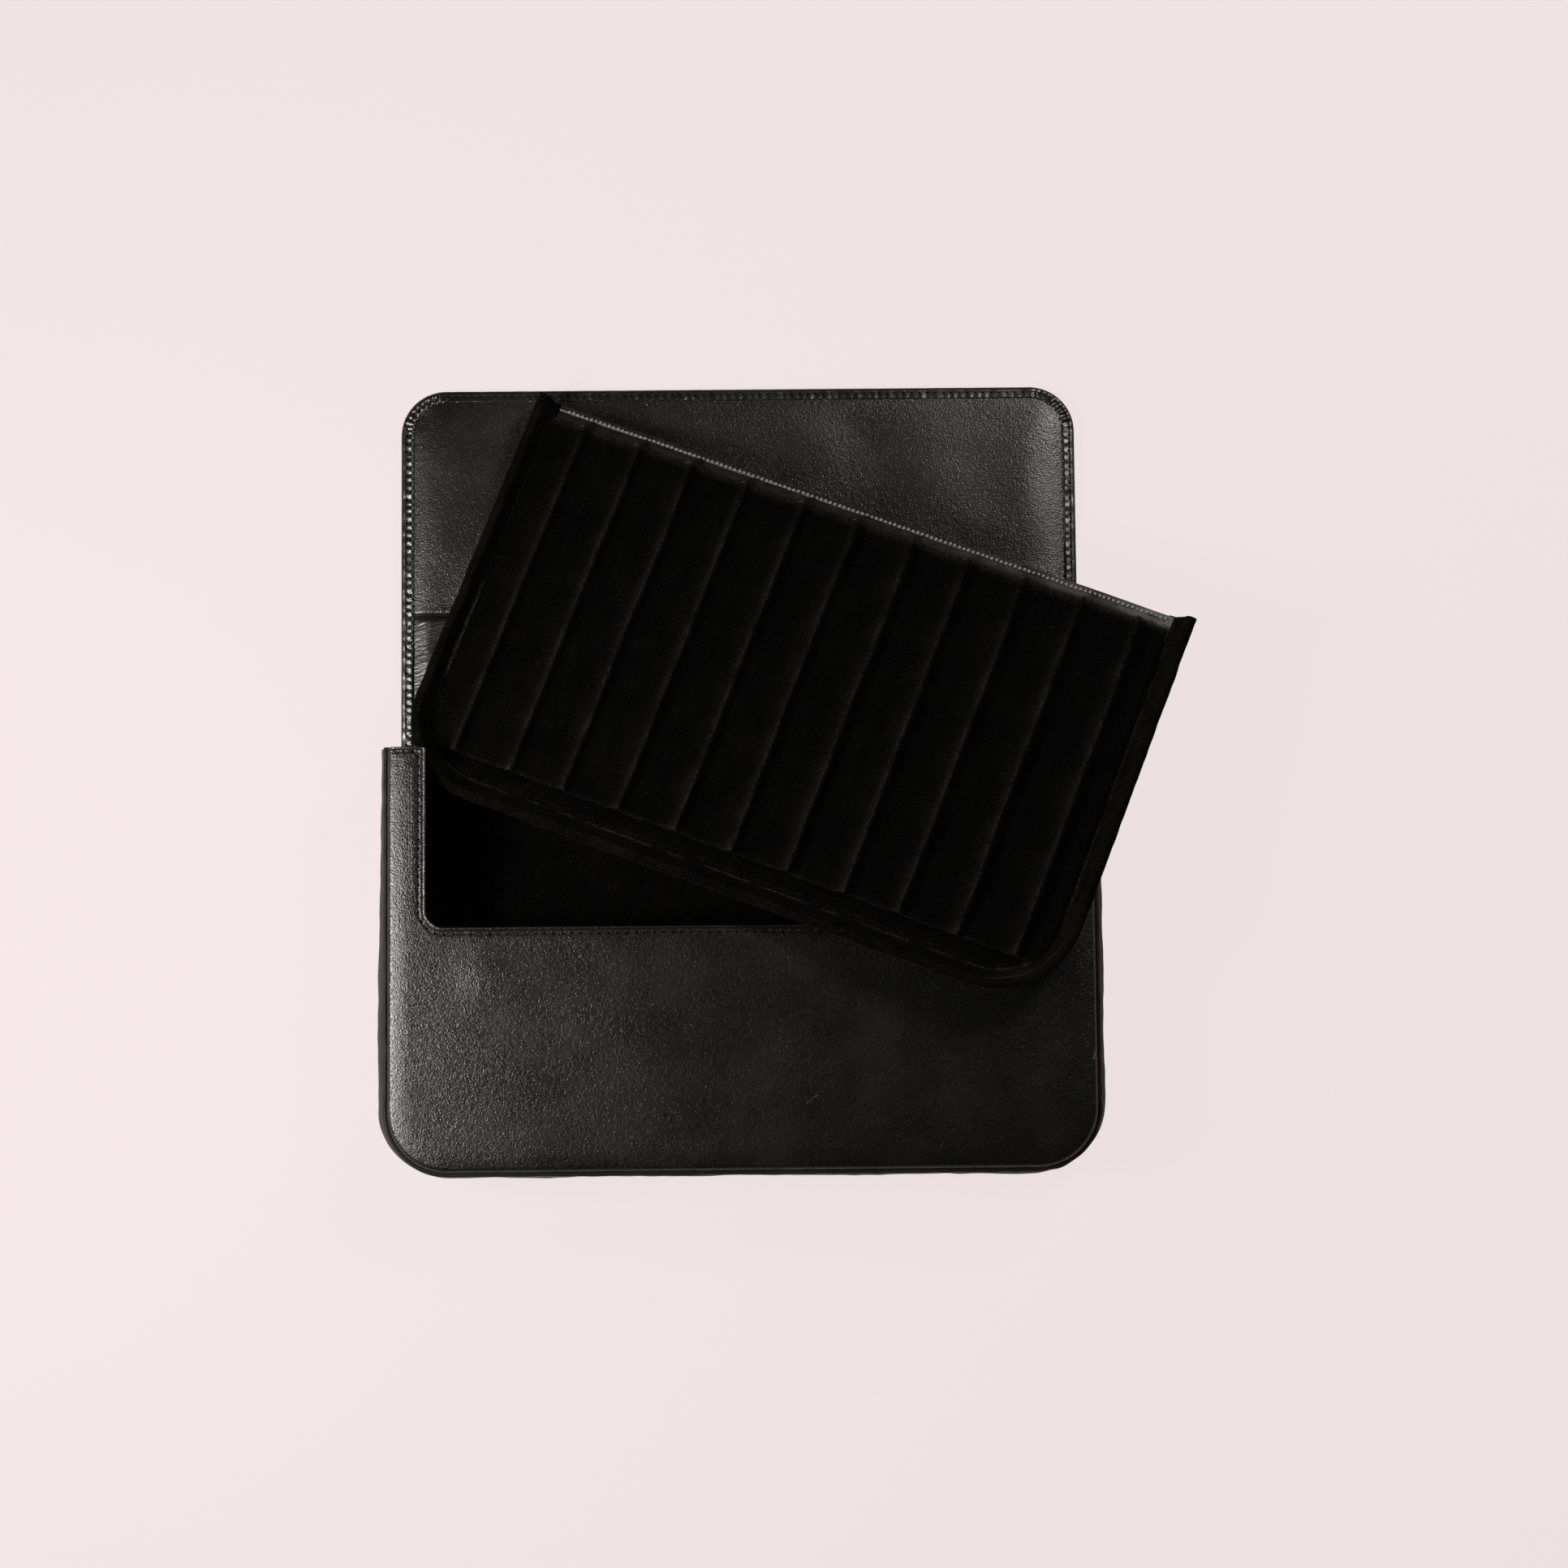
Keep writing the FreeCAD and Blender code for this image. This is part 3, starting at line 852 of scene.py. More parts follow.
def gusset():
    """The soft side wall and its lining: it bows out unevenly, with shallow pulls along the seams."""
    low, high = node_box("gusset")
    track = Track(half_case, mouth, -mouth, case_corner, step=1.2)
    heights = np.linspace(low[2], high[2], gusset_rows)
    share = (heights - low[2]) / (high[2] - low[2])
    arch = 1 - (2 * share - 1) ** 2
    on_left, on_right = (np.maximum(side * track.outward[:, 0], 0) ** 2 for side in (-1, 1))
    slack = ease((mouth - track.points[:, 1]) / slack_reach)
    bulge = on_left * (bow_left + left_slack * slack) + on_right * bow_right
    bulge = bulge + track.outward[:, 1] ** 2 * bow_bottom - corner_draw * track.turning
    along = track.length[:, None]
    pulls = waves(along, heights[None], broad_pulls) * arch
    pulls = pulls + waves(along, heights[None] * pull_slant, seam_pulls) * np.sqrt(np.maximum(arch, 0))
    outer = bulge[:, None] * arch + pulls
    layers = (("gusset", 0.0, skin_depth, gusset_leather, "case_leather"),
              ("gusset_lining", skin_depth, lining_depth, lining_suede, "lining_suede"))
    for node, face, inner, finish, slot in layers:
        outside, within = (strip(outer - depth, heights) for depth in (face, inner))
        profile = np.concatenate([outside, within[:, ::-1]], 1)
        piece = make_piece(f"soft_{node}", tube(track.sweep(profile)), finish)
        ride(piece, "case", slot, node)


def piping(name, node, stand):
    """A corded welt: a round bead with the tape that is sewn into the seam."""
    low, high = node_box(node)
    middle = (low[2] + high[2]) / 2
    radius = (high[2] - low[2]) / 2
    track = Track(half_case, mouth, -mouth, case_corner, step=1.0)
    tape, tape_reach = 0.4, 3.0  # half its thickness, and how far in it goes
    ends = math.asin(tape / radius)
    bead_points = 13
    angles = np.linspace(math.pi - ends, ends - math.pi, bead_points)
    bead = np.stack([stand + radius * np.cos(angles), middle + radius * np.sin(angles)], 1)
    root = np.array([[-tape_reach, middle - tape], [-tape_reach, middle + tape]])
    profile = np.tile(np.vstack([bead, root]), (len(track.points), 1, 1))
    profile[:, : len(bead), 0] += wander(track.length, cord_waves)[:, None]
    piece = make_piece(name, tube(track.sweep(profile)), gusset_leather)
    ride(piece, "case", "case_leather", node)


# The binding's section: place across from the flap's edge inwards, and height there
binding_section = ((0.0, 2.2), (-0.05, 2.75), (-0.25, 3.05), (-0.7, 3.28), (-1.2, 3.42), (-1.6, 3.44),
                   (-1.9, 3.36), (-2.2, 3.42), (-2.6, 3.52), (-3.0, 3.62), (-3.4, 3.70), (-3.8, 3.72),
                   (-4.15, 3.55), (-binding_leaf, 3.1))
binding_under = 0.9  # how far in from the edge it is turned under
binding_nose = (0.1, 0.6)  # width and height of the round at its foot
seam_inset = 1.95
seam_depth = 0.33

# How uneven the binding is: its pillows, its two strips, its face, the gathers and its inner edge
pillow_waves = (0.5, 7.0, 44)
inner_waves = (0.5, 6.0, 45)
outer_waves = (1.0, 4.0, 46)
leaf_waves = (0.06, 5.0, 41)
gather_waves = (1.3, 9.0, 42)
leaf_edge_waves = (0.12, 30.0, 43)


def binding_rows():
    """The flap's edge binding as rows of points: pillowed between stitches, gathered at the corners."""
    track = Track(half_flap, first_fold, flap_end, flap_corner, step=0.42, stops=(spine_seam, flap_seam))
    across, crown = np.array(binding_section).T[:, None]
    length = track.length[:, None]
    corner_start, left_start = 1.6, 1.5
    gathered = ease(track.turning * corner_start)[:, None]
    on_left = ease(-track.outward[:, :1] * left_start)
    pillow, pillow_left, pillow_corner = 0.07, 0.12, 0.05
    strong = pillow + pillow_left * on_left + pillow_corner * gathered
    inner_place, inner_width, outer_place, outer_width, outer_share = -3.15, 0.8, -1.0, 0.5, 0.6
    turns = math.tau * length / stitch_pitch["binding"] + wander(length, pillow_waves)
    inner_strip = bump(across - inner_place, inner_width) * (1 + wander(length, inner_waves))
    outer_strip = bump(across - outer_place, outer_width) * wander(length, outer_waves)
    lift = strong * (np.sin(turns) * inner_strip + outer_share * outer_strip)
    leaf_slant = 0.8
    lift = lift + waves(length, across * leaf_slant, leaf_waves)
    fold_pitch, fold_rise, fold_place, fold_reach = 2.6, 0.36, -2.4, 2.6
    folds = np.sin(math.tau * length / fold_pitch + wander(length, gather_waves))
    lift = lift + fold_rise * gathered * folds * ease(1 - np.abs(across - fold_place) / fold_reach)
    raw_edge = -3.0  # beyond this the leaf's edge wanders
    offset = across + wander(length, leaf_edge_waves) * (across < raw_edge)
    low = flap_low[2]
    nose, nose_rise = binding_nose
    wall = np.array([[-binding_leaf, lining_top], [-binding_under, lining_top], [-binding_under, low],
                     [-nose, low], [0.0, low + nose_rise]])
    under = np.tile(wall, (len(length), 1, 1))
    return track, track.sweep(np.concatenate([strip(offset, crown + lift), under], 1))


def by_reach(track, start, end):
    """Runs of track points between two lines across the flap, one run or one for each side."""
    slack = 1e-6
    chosen = (track.points[:, 1] > start - slack) & (track.points[:, 1] < end + slack)
    starts = np.flatnonzero(chosen & ~np.roll(chosen, 1))
    runs = []
    for first in starts:
        last = first
        while last + 1 < len(chosen) and chosen[last + 1]:
            last += 1
        runs.append(slice(first, last + 1))
    return runs


# Parts of the skin beside the folds: name, bodies, where the bend starts and ends, and where the part does
skin_parts = (("lower", "case", "flap_spine", first_fold, first_fold + first_bend, first_fold, spine_seam),
              ("upper", "flap_spine", "flap", second_fold - fold_half, second_fold + fold_half,
               spine_seam, flap_seam))


def stood_for(part, node):
    """The CAD node that the lower part of a skin stands for. The upper part stands for none."""
    return [node] if part == "lower" else []


def binding():
    """The binding in three pieces, two of them lying over the spine's folds, and its stitches."""
    track, rows = binding_rows()
    seam_line = track.line(-seam_inset, binding_top - seam_depth)

    def part(name, low, high):
        """The binding and its stitches between two lines across the flap."""
        runs = by_reach(track, low, high)
        leaf = make_piece("binding_" + name, joined([tube(rows[run]) for run in runs]), binding_leather)
        return leaf, stitch_row("binding_stitches_" + name, [seam_line[run] for run in runs], "binding")

    for name, first, second, start, end, low, high in skin_parts:
        leaf, row = part(name, low, high)
        bend(leaf, first, second, start, end, "inside_leather", *stood_for(name, "spine_binding"))
        bend(row, first, second, start, end, "inside_leather")
    leaf, row = part("flap", flap_seam, flap_end)
    ride(leaf, "flap", "inside_leather", "flap_binding")
    ride(row, "flap", "inside_leather")


# The lining beside the fold: how it puffs up, and how it calms down under the pocket
lining_skin = 0.7
lining_drop = 0.12
lining_waves = (0.10, 16.0, 52)
calm_start, calm_reach = 4.0, 6.0
puff_rise = 1.2
puff_inset, puff_reach = 2.5, 6.5
tuck_inset, tuck_reach = 0.4, 1.8


def lining_height(x, y):
    """The soft lining beside the fold: slack, puffed beside the binding and tucked under the pocket."""
    calm = ease((pocket_low[1] + calm_start - y) / calm_reach)
    beside = ease((sheet_half - np.abs(x) - puff_inset) / puff_reach)
    tucked = ease((pocket_low[1] - tuck_inset - y) / tuck_reach)
    return lining_top - lining_drop + (waves(x, y, lining_waves) + puff_rise * beside * tucked) * calm


def spine():
    """Leather and lining of the spine, parted at its middle, one half beside each fold."""
    inner = level(lining_top - lining_skin)
    outer_top, outer_under = level(spine_high[2]), level(spine_low[2])
    for name, first, second, start, end, low, high in skin_parts:
        shape = plate(-sheet_half, sheet_half, low, high, step=0.8, top=lining_height, under=inner)
        piece = make_piece("spine_lining_" + name, shape, fold_leather)
        bend(piece, first, second, start, end, "inside_leather", *stood_for(name, "spine_lining"))
        shape = plate(-sheet_half, sheet_half, low, high, step=1.6, top=outer_top, under=outer_under)
        piece = make_piece("spine_leather_" + name, shape, case_leather)
        bend(piece, first, second, start, end, "case_leather", *stood_for(name, "spine_cover"))


def flap_skins():
    """The outside leather of the flap and its lining."""
    loop = box_loop(sheet_half, flap_seam, sheet_high[1], square_corner, sheet_corner)
    outside = panel(loop, soft_rows, step=1.4, pitch=3.0, height=level(spine_low[2]), foot=spine_high[2])
    ride(make_piece("flap_leather", outside, case_leather), "flap", "case_leather", "flap_cover")
    within = panel(loop, soft_rows, step=1.4, pitch=1.6, height=lining_height,
                   foot=lining_top - lining_skin)
    ride(make_piece("flap_lining_leather", within, flap_leather), "flap", "inside_leather", "flap_lining")


# The pocket: its height over the lining, its soft shoulder and its slack mouth
pocket_stand = 1.6
pocket_foot = 0.35
near_drop, near_reach, near_curve = 0.75, 3.4, 1.3  # the steep part of the shoulder
far_drop, far_reach = 0.6, 5.0  # its long run-out
end_share, end_blend = 0.7, 12.0  # how much less it drops along the end, and over what width that sets in
pocket_waves = ((0.30, 60.0, 61), (0.05, 17.0, 62))
slack_inset, slack_mouth, slack_least = 14.0, 10.0, 0.3
mouth_roll = 0.45
mouth_drop, mouth_reach, mouth_inset = 0.35, 9.0, 12.0


def pocket_height(x, y):
    """The padded pocket: a soft shoulder on three sides and a free, slightly slack mouth."""
    half, end = pocket_high[0], pocket_high[1]
    depth = np.maximum(box_depth(x, -y, half, -end, pocket_corner), 0)
    from_mouth = y - pocket_low[1]
    drop = near_drop * np.exp(-(depth / near_reach) ** near_curve) + far_drop * np.exp(-depth / far_reach)
    near_end = ease((half - np.abs(x) - (end - y)) / end_blend + 0.5)
    height = lining_top + pocket_stand - drop * (1 - end_share * near_end)
    slack = waves(x, y, *pocket_waves)
    height += slack * ease(depth / slack_inset) * ease(from_mouth / slack_mouth + slack_least)
    height -= roll(np.maximum(from_mouth, 0), mouth_roll)
    height -= mouth_drop * ease(1 - from_mouth / mouth_reach) * ease(depth / mouth_inset)
    return height


def pocket():
    """The padded leather pocket inside the flap."""
    loop = box_loop(pocket_high[0], pocket_low[1], pocket_high[1], square_corner, pocket_corner)
    shape = panel(loop, pocket_rows, step=1.0, pitch=1.6, height=pocket_height,
                  foot=lining_top + pocket_foot)
    piece = make_piece("pocket_leather", shape, flap_leather)
    ride(piece, "flap", "inside_leather", "pocket_panel", "pocket_padding")


# Tray wall: how far the foot of its inner face lies in from the rim, on each side
foot_left = 5.2
foot_right = 6.9
foot_bottom = 7.3

# Its section, from the foot of its outside over the rim and down its inner face to the flange on the floor
wall_outside = ((-3.0, 0.0), (-2.2, 2.2), (-1.2, 4.6), (-0.35, 6.8))  # offsets, and heights over its foot
rim_steps = (0.0, 0.03, 0.10, 0.22, 0.36, 0.50, 0.64, 0.78, 0.90, 0.97, 1.0)  # shares of the rim's width
slope_steps = (0.12, 0.3, 0.5, 0.68, 0.82, 0.92, 0.97, 1.0)  # shares of the way down the inner face
flange_steps = ((0.35, 0.12), (0.9, 0.10), (2.2, 0.02))  # distances from the crease, heights over the floor
rim_width = 3.5
rim_drop = 1.6
slope_start = 0.2
slope_curve = 1.15
crease_rise = 0.35
flange_skin = 0.5
wall_hollow = 1.4  # height over the foot of the hollow under the inner face
inner_foot = 3.9
wall_waves = ((0.09, 22.0, 71), (0.05, 6.0, 72))
outside_share, crown_share, slope_share = 0.6, 0.5, 0.4  # how far each part takes up the waves
wall_seam = (1.0, 0.22)  # the stitches' distance from the crease and height over the floor
seam_ends = 6  # points of the track left unsewn at each end

# Its wear: the columns beside the crease and on the rim that are rubbed, with the strength of each
crease_columns = ((-3, 0.3), (-2, 0.6), (-1, 0.9), (0, 1.0), (1, 0.5))
rim_columns = ((0, 0.06), (1, 0.03), (6, 0.02), (7, 0.01))
crease_wear, crease_mean, crease_fade = 0.45, 0.62, (0.6, 14.0, 73)
rim_fade = (0.6, 8.0, 74)
left_part = 0.9  # share of the half width beyond which the left wall is meant
left_wear, left_rub, left_from, left_to, left_blend = 0.12, 0.75, -36.0, 4.0, 8.0


def wall_track():
    """The line round the tray's rim, from its right-hand end to its left-hand one."""
    past_lip = 0.3
    return Track(half_tray, lip_high[1] + past_lip, tray_foot, tray_corner, step=0.9)


def wall_feet(track):
    """How far in from the rim the inner face meets the floor, along the track."""
    right = np.maximum(track.outward[:, 0], 0) ** 2
    left = np.maximum(-track.outward[:, 0], 0) ** 2
    below = track.outward[:, 1] ** 2
    return right * foot_right + left * foot_left + below * foot_bottom


def wall_wear(track, rim_at, crease_at, columns):
    """How worn each point of the wall is: along the crease, most on the left, and along the rim."""
    pale_share = np.zeros((len(track.length), columns))
    x, y = track.points.T
    on_left = x < -half_tray * left_part
    rubbed = left_wear + left_rub * ease((y - left_from) / left_blend) * ease((left_to - y) / left_blend)
    fade = ease(crease_mean + wander(track.length, crease_fade))
    strength = np.where(on_left, rubbed, crease_wear * fade)
    for step, amount in crease_columns:
        pale_share[:, crease_at + step] = strength * np.where(on_left, amount, amount ** 3)
    nap = np.maximum(1 + wander(track.length, rim_fade), 0)
    for step, amount in rim_columns:
        pale_share[:, rim_at + step] = amount * nap
    return pale_share


def tray_wall():
    """The suede wall on three sides: a round rim, a leaning inner face and a worn crease at its foot."""
    track = wall_track()
    length = track.length[:, None]
    feet = wall_feet(track)[:, None]
    uneven = wander(length, *wall_waves)
    offset, rise = np.array(wall_outside).T
    outside = strip(offset + outside_share * uneven, wall_foot + rise)
    share = np.array(rim_steps)
    crown = rim_top - rim_drop + rim_drop * np.sqrt(np.maximum(1 - (2 * share - 1) ** 2, 0))
    rim = strip(-rim_width * share + uneven, crown + crown_share * uneven)
    down = np.array(slope_steps)
    start, crease = rim_top - rim_drop - slope_start, floor_top + crease_rise
    slope = strip(-rim_width - (feet - rim_width) * down ** slope_curve + slope_share * uneven,
                  start + (crease - start) * down)
    beyond, over = np.array(flange_steps).T
    flange = strip(-feet - beyond, floor_top + over)
    under = strip(-feet - beyond[-1], floor_top - flange_skin)
    hollow = strip(-feet, wall_foot + wall_hollow)
    foot = strip(np.full(feet.shape, -inner_foot), wall_foot)
    profile = np.concatenate([outside, rim, slope, flange, under, hollow, foot], 1)
    piece = make_piece("tray_wall", tube(track.sweep(profile)), tray_suede, tray)
    rim_at = len(wall_outside)
    crease_at = rim_at + len(rim_steps) + len(slope_steps) - 1
    mark(piece, "crease", wall_wear(track, rim_at, crease_at, profile.shape[1]))
    ride(piece, "tray", "tray_suede", "tray_wall_suede", "tray_wall_board", "tray_wall_padding")
    seam_in, seam_up = wall_seam
    line = track.line(-(feet + seam_in), floor_top + seam_up)
    row = stitch_row("tray_wall_stitches", [line[seam_ends:-seam_ends]], "tray", tray)
    ride(row, "tray", "tray_suede")


# The lip's section: its nose, by distance back from the front and height over the foot, and its crest, by
# distance back and depth below the top
lip_nose = ((0.3, 0.0), (0.05, 0.6), (0.0, 1.8))
lip_crest = ((0.05, 0.9), (0.2, 0.5), (0.5, 0.22), (0.9, 0.05), (1.3, 0.0), (1.65, 0.10), (1.95, 0.42),
             (2.3, 0.46), (2.8, 0.36), (3.6, 0.34), (4.6, 0.38), (5.6, 0.45))
lip_stand = 0.55
lip_skin = 0.9
crest_depth, crest_blend, crest_back = 0.6, 0.5, 0.5  # which part of the section ripples
lip_ripple = (0.10, 9.0, 81)
lip_bow = (0.14, 40.0, 82)
lip_columns = 260
pale_start, pale_reach, lip_wear_and_highlight = 10.0, 100.0, 0.22  # paler towards the right and most at the right-hand end: partly worn leather, partly a painted highlight
end_wear_and_highlight, end_reach = 0.5, 9.0
pale_back = 4.2
lip_seam = (1.55, 0.10)  # the stitches' distance back from the nose and depth below the top
lip_seam_ends = 3


def tray_lip():
    """The leather lip across the open end: a rolled nose, a sewn edge and a strip under the pad."""
    low, high = lip_low, lip_high
    across = np.linspace(low[0], high[0], lip_columns)
    top = high[2] + lip_stand
    nose = high[1]
    profile = np.array([*((nose - back, low[2] + up) for back, up in lip_nose),
                        *((nose - back, top - down) for back, down in lip_crest),
                        (low[1], high[2]), (low[1], floor_top), (nose - lip_skin, floor_top),
                        (nose - lip_skin, low[2])])
    back, up = profile.T
    crest = ease((up - high[2] + crest_depth) / crest_blend) * (back > low[1] + crest_back)
    shape = np.empty((lip_columns, len(profile), 3))
    shape[..., 0] = across[:, None]
    shape[..., 1] = back + wander(across[:, None], lip_bow)
    shape[..., 2] = up + waves(across[:, None], back[None], lip_ripple) * crest
    piece = make_piece("tray_lip", tube(shape), lip_leather, tray)
    # Partly real wear, partly a painted highlight: the lip pales towards the right and most at its
    # right-hand end
    pale_share = ease((across - pale_start) / pale_reach) * lip_wear_and_highlight
    pale_share = pale_share + end_wear_and_highlight * bump(across - high[0], end_reach)
    mark(piece, "pale_share", pale_share[:, None] * (back > nose - pale_back))
    ride(piece, "tray", "inside_leather", "lip_facing")
    seam_back, seam_down = lip_seam
    line = np.column_stack(np.broadcast_arrays(across, nose - seam_back, top - seam_down))
    row = stitch_row("tray_lip_stitches", [line[lip_seam_ends:-lip_seam_ends]], "lip", tray)
    ride(row, "tray", "inside_leather")


# The pleats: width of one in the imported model, and columns of points on each side of a ridge
pleat_count = 11
pleat_seed = 91
pleat_width = 3.4
pleat_pitch = (pleats_high[0] - pleats_low[0] - pleat_width) / (pleat_count - 1)
ridge_columns = (0.0, 0.22, 0.45, 0.7, 0.95, 1.2, 1.5, 1.85, 2.3, 3.0, 3.9, 5.0, 6.2, 7.5, 8.8)
pad_rows = 92
pad_skin = 0.6
pad_drop = 0.25
pad_tuck = 0.6  # how far its sides are tucked under the walls
pad_spread = 3.0  # beyond this distance the outermost columns are spaced out to the walls

# A ridge: height, half width and steepness, the flare at its foot, its drift, lean and waver
ridge_height, ridge_half, ridge_power = 3.1, 1.5, 3.2
flare_height, flare_reach = 0.9, 2.6
ridge_drift = 0.35
lean_mean, lean_spread, lean_most = 0.4, 0.12, 1.2
hold_start, hold_reach, hold_share = 7.0, 3.0, 0.8  # how the walls hold the outermost columns
waver_broad, broad_slant = (0.22, 60.0, 92), 1.7
waver_fine, fine_slant = (0.06, 14.0, 93), 2.3
tall_waves, tall_slant = (0.10, 30.0, 94), 1.3
sag_waves = ((0.18, 24.0, 95), (0.06, 7.0, 96))

# The pad's cut ends, at the wall opposite the lip and at the lip: where they start and over what share of
# its length they grow
foot_share = 24
foot_rise, foot_waves, foot_press = 0.25, (0.25, 19.0, 97), 0.35
lip_tip, tip_rise, tip_width = 0.5, 0.15, 1.6
lip_ragged = ((0.07, 3.1, 98), (0.15, 26.0, 99))
foot_ragged, foot_ragged_waves = 0.14, (1.0, 5.0, 100)
lip_cut, foot_cut = (0.93, 0.07), (0.05, 0.05)

# The pad's painted highlight: strength, place and width of the pale strips along a ridge, on its crest and
# left flank, and how they end
ridge_highlight_strips = ((0.030, -0.2, 1.6), (0.02, 0.0, 0.65), (0.006, -3.0, 2.6))
end_change = 0.6
lip_fade, foot_fade = (0.82, 0.15), (0.03, 0.03)
lip_raw, foot_raw = (0.10, 0.985, 0.012), (0.02, 0.012, 0.01)
ridge_highlight_waves = (0.35, 15.0, 101)


def pleat_columns():
    """Places across the pad, as pleat numbers and distances from that pleat's ridge."""
    half = pleat_pitch / 2
    near = np.array(ridge_columns)
    numbers = []
    places = []
    for index in range(pleat_count):
        for place in (*-near[:0:-1], *near):
            numbers.append(index)
            places.append(place)
        if index < pleat_count - 1:
            numbers.append(index)
            places.append(half)
    outer = pleat_pitch * (pleat_count - 1) / 2
    edges = [half_tray - foot + pad_tuck - outer for foot in (foot_left, foot_right)]
    return np.array(numbers), np.array(places), edges


def pleated_pad():
    """The suede pad: pinched ridges that waver and lean, slack between them, with raw cut ends."""
    numbers, places, edges = pleat_columns()
    near = np.abs(places).max()
    left = (numbers == 0) & (places < 0)
    right = (numbers == pleat_count - 1) & (places > 0)
    outermost = left | right
    edge = np.where(left, edges[0], edges[1])
    share = np.clip((np.abs(places) - pad_spread) / (near - pad_spread), 0, 1)
    spaced = np.minimum(np.abs(places), pad_spread) + share * (edge - pad_spread)
    places = np.where(outermost, np.sign(places) * spaced, places)
    distance = np.abs(places)
    way = np.linspace(0, 1, pad_rows)[:, None]
    along = pad_low[1] + (pad_high[1] - pad_low[1]) * way

    def to_lip(start, reach):
        """A step that grows from a share of the pad's length towards the lip."""
        return ease((way - start) / reach)

    def to_foot(start, reach):
        """A step that grows from a share of the pad's length away from the lip."""
        return ease((start - way) / reach)

    draw = np.random.default_rng(pleat_seed)
    ridge = (numbers - (pleat_count - 1) / 2) * pleat_pitch
    drift = draw.normal(0, ridge_drift, pleat_count)[numbers]
    lean = lean_mean + draw.normal(0, lean_spread, pleat_count)[numbers]
    waver = waves(along, ridge * broad_slant, waver_broad) + waves(along, ridge * fine_slant, waver_fine)
    tall = 1 + waves(along, ridge * tall_slant, tall_waves)
    fold = ridge_height * tall / (1 + (distance / ridge_half) ** ridge_power)
    flare = flare_height * np.exp(-distance / flare_reach)
    held = 1 - ease((distance - hold_start) / hold_reach) * outermost * hold_share
    across = ridge + places + (drift + waver) * held + lean * np.clip(fold / ridge_height, 0, lean_most)
    at_wall = ease(distance / edge * outermost)
    height = pad_high[2] - pad_drop + fold + flare + waves(across, along, *sag_waves) * (1 - at_wall)
    at_foot = ease(1 - way * foot_share)
    height += at_foot * (foot_rise + wander(across, foot_waves))
    height -= foot_press * at_foot * fold / ridge_height
    tip = lip_tip + tip_rise * bump(distance, tip_width)
    forward = to_lip(*lip_cut) * (tip + wander(across, *lip_ragged))
    backward = to_foot(*foot_cut) * foot_ragged * wander(across, foot_ragged_waves)
    points = np.stack([across, along + forward + backward, height], 2)
    piece = make_piece("pleated_pad", sheet(points), pad_suede, tray)
    # Painted highlight: the ridges' crests and left flanks, and thin lines along the cut ends, are made
    # paler, weaker towards the lip
    rubbed = sum(strength * bump(places - place, width) for strength, place, width in ridge_highlight_strips)
    ends = 1 - end_change * to_lip(*lip_fade) + end_change * to_foot(*foot_fade)
    raw_edge = lip_raw[0] * to_lip(*lip_raw[1:]) + foot_raw[0] * to_foot(*foot_raw[1:])
    mark(piece, "crest", rubbed * ends * (1 + waves(along, across, ridge_highlight_waves)) + raw_edge)
    thick = piece.modifiers.new("thickness", "SOLIDIFY")
    thick.thickness = pad_skin / metre
    thick.offset = -1.0  # below the face
    ride(piece, "tray", "tray_suede", "pleat_sheet", "pleats", "pleat_backing")


# Stitches: pitch, thread length, width and height, and slant in degrees
stitch_pitch = {"hem": 3.0, "binding": 2.75, "tray": 2.6, "lip": 1.65}
stitch_sizes = {"hem": (1.5, 0.42, 0.34, 28.0), "binding": (1.3, 0.55, 0.40, 14.0),
                "tray": (1.7, 0.50, 0.40, 6.0), "lip": (1.20, 1.25, 0.55, 25.0)}
stitch_thread = {"hem": black_thread, "binding": dull_thread, "tray": dull_thread, "lip": waxed_thread}
stitch_uneven = 0.08  # how far a stitch strays from its place
# Dark dots of painted shade that stand for the hem's needle holes: length, width, height and slant
hole_shade_size = (1.0, 0.85, 0.24, 0.0)


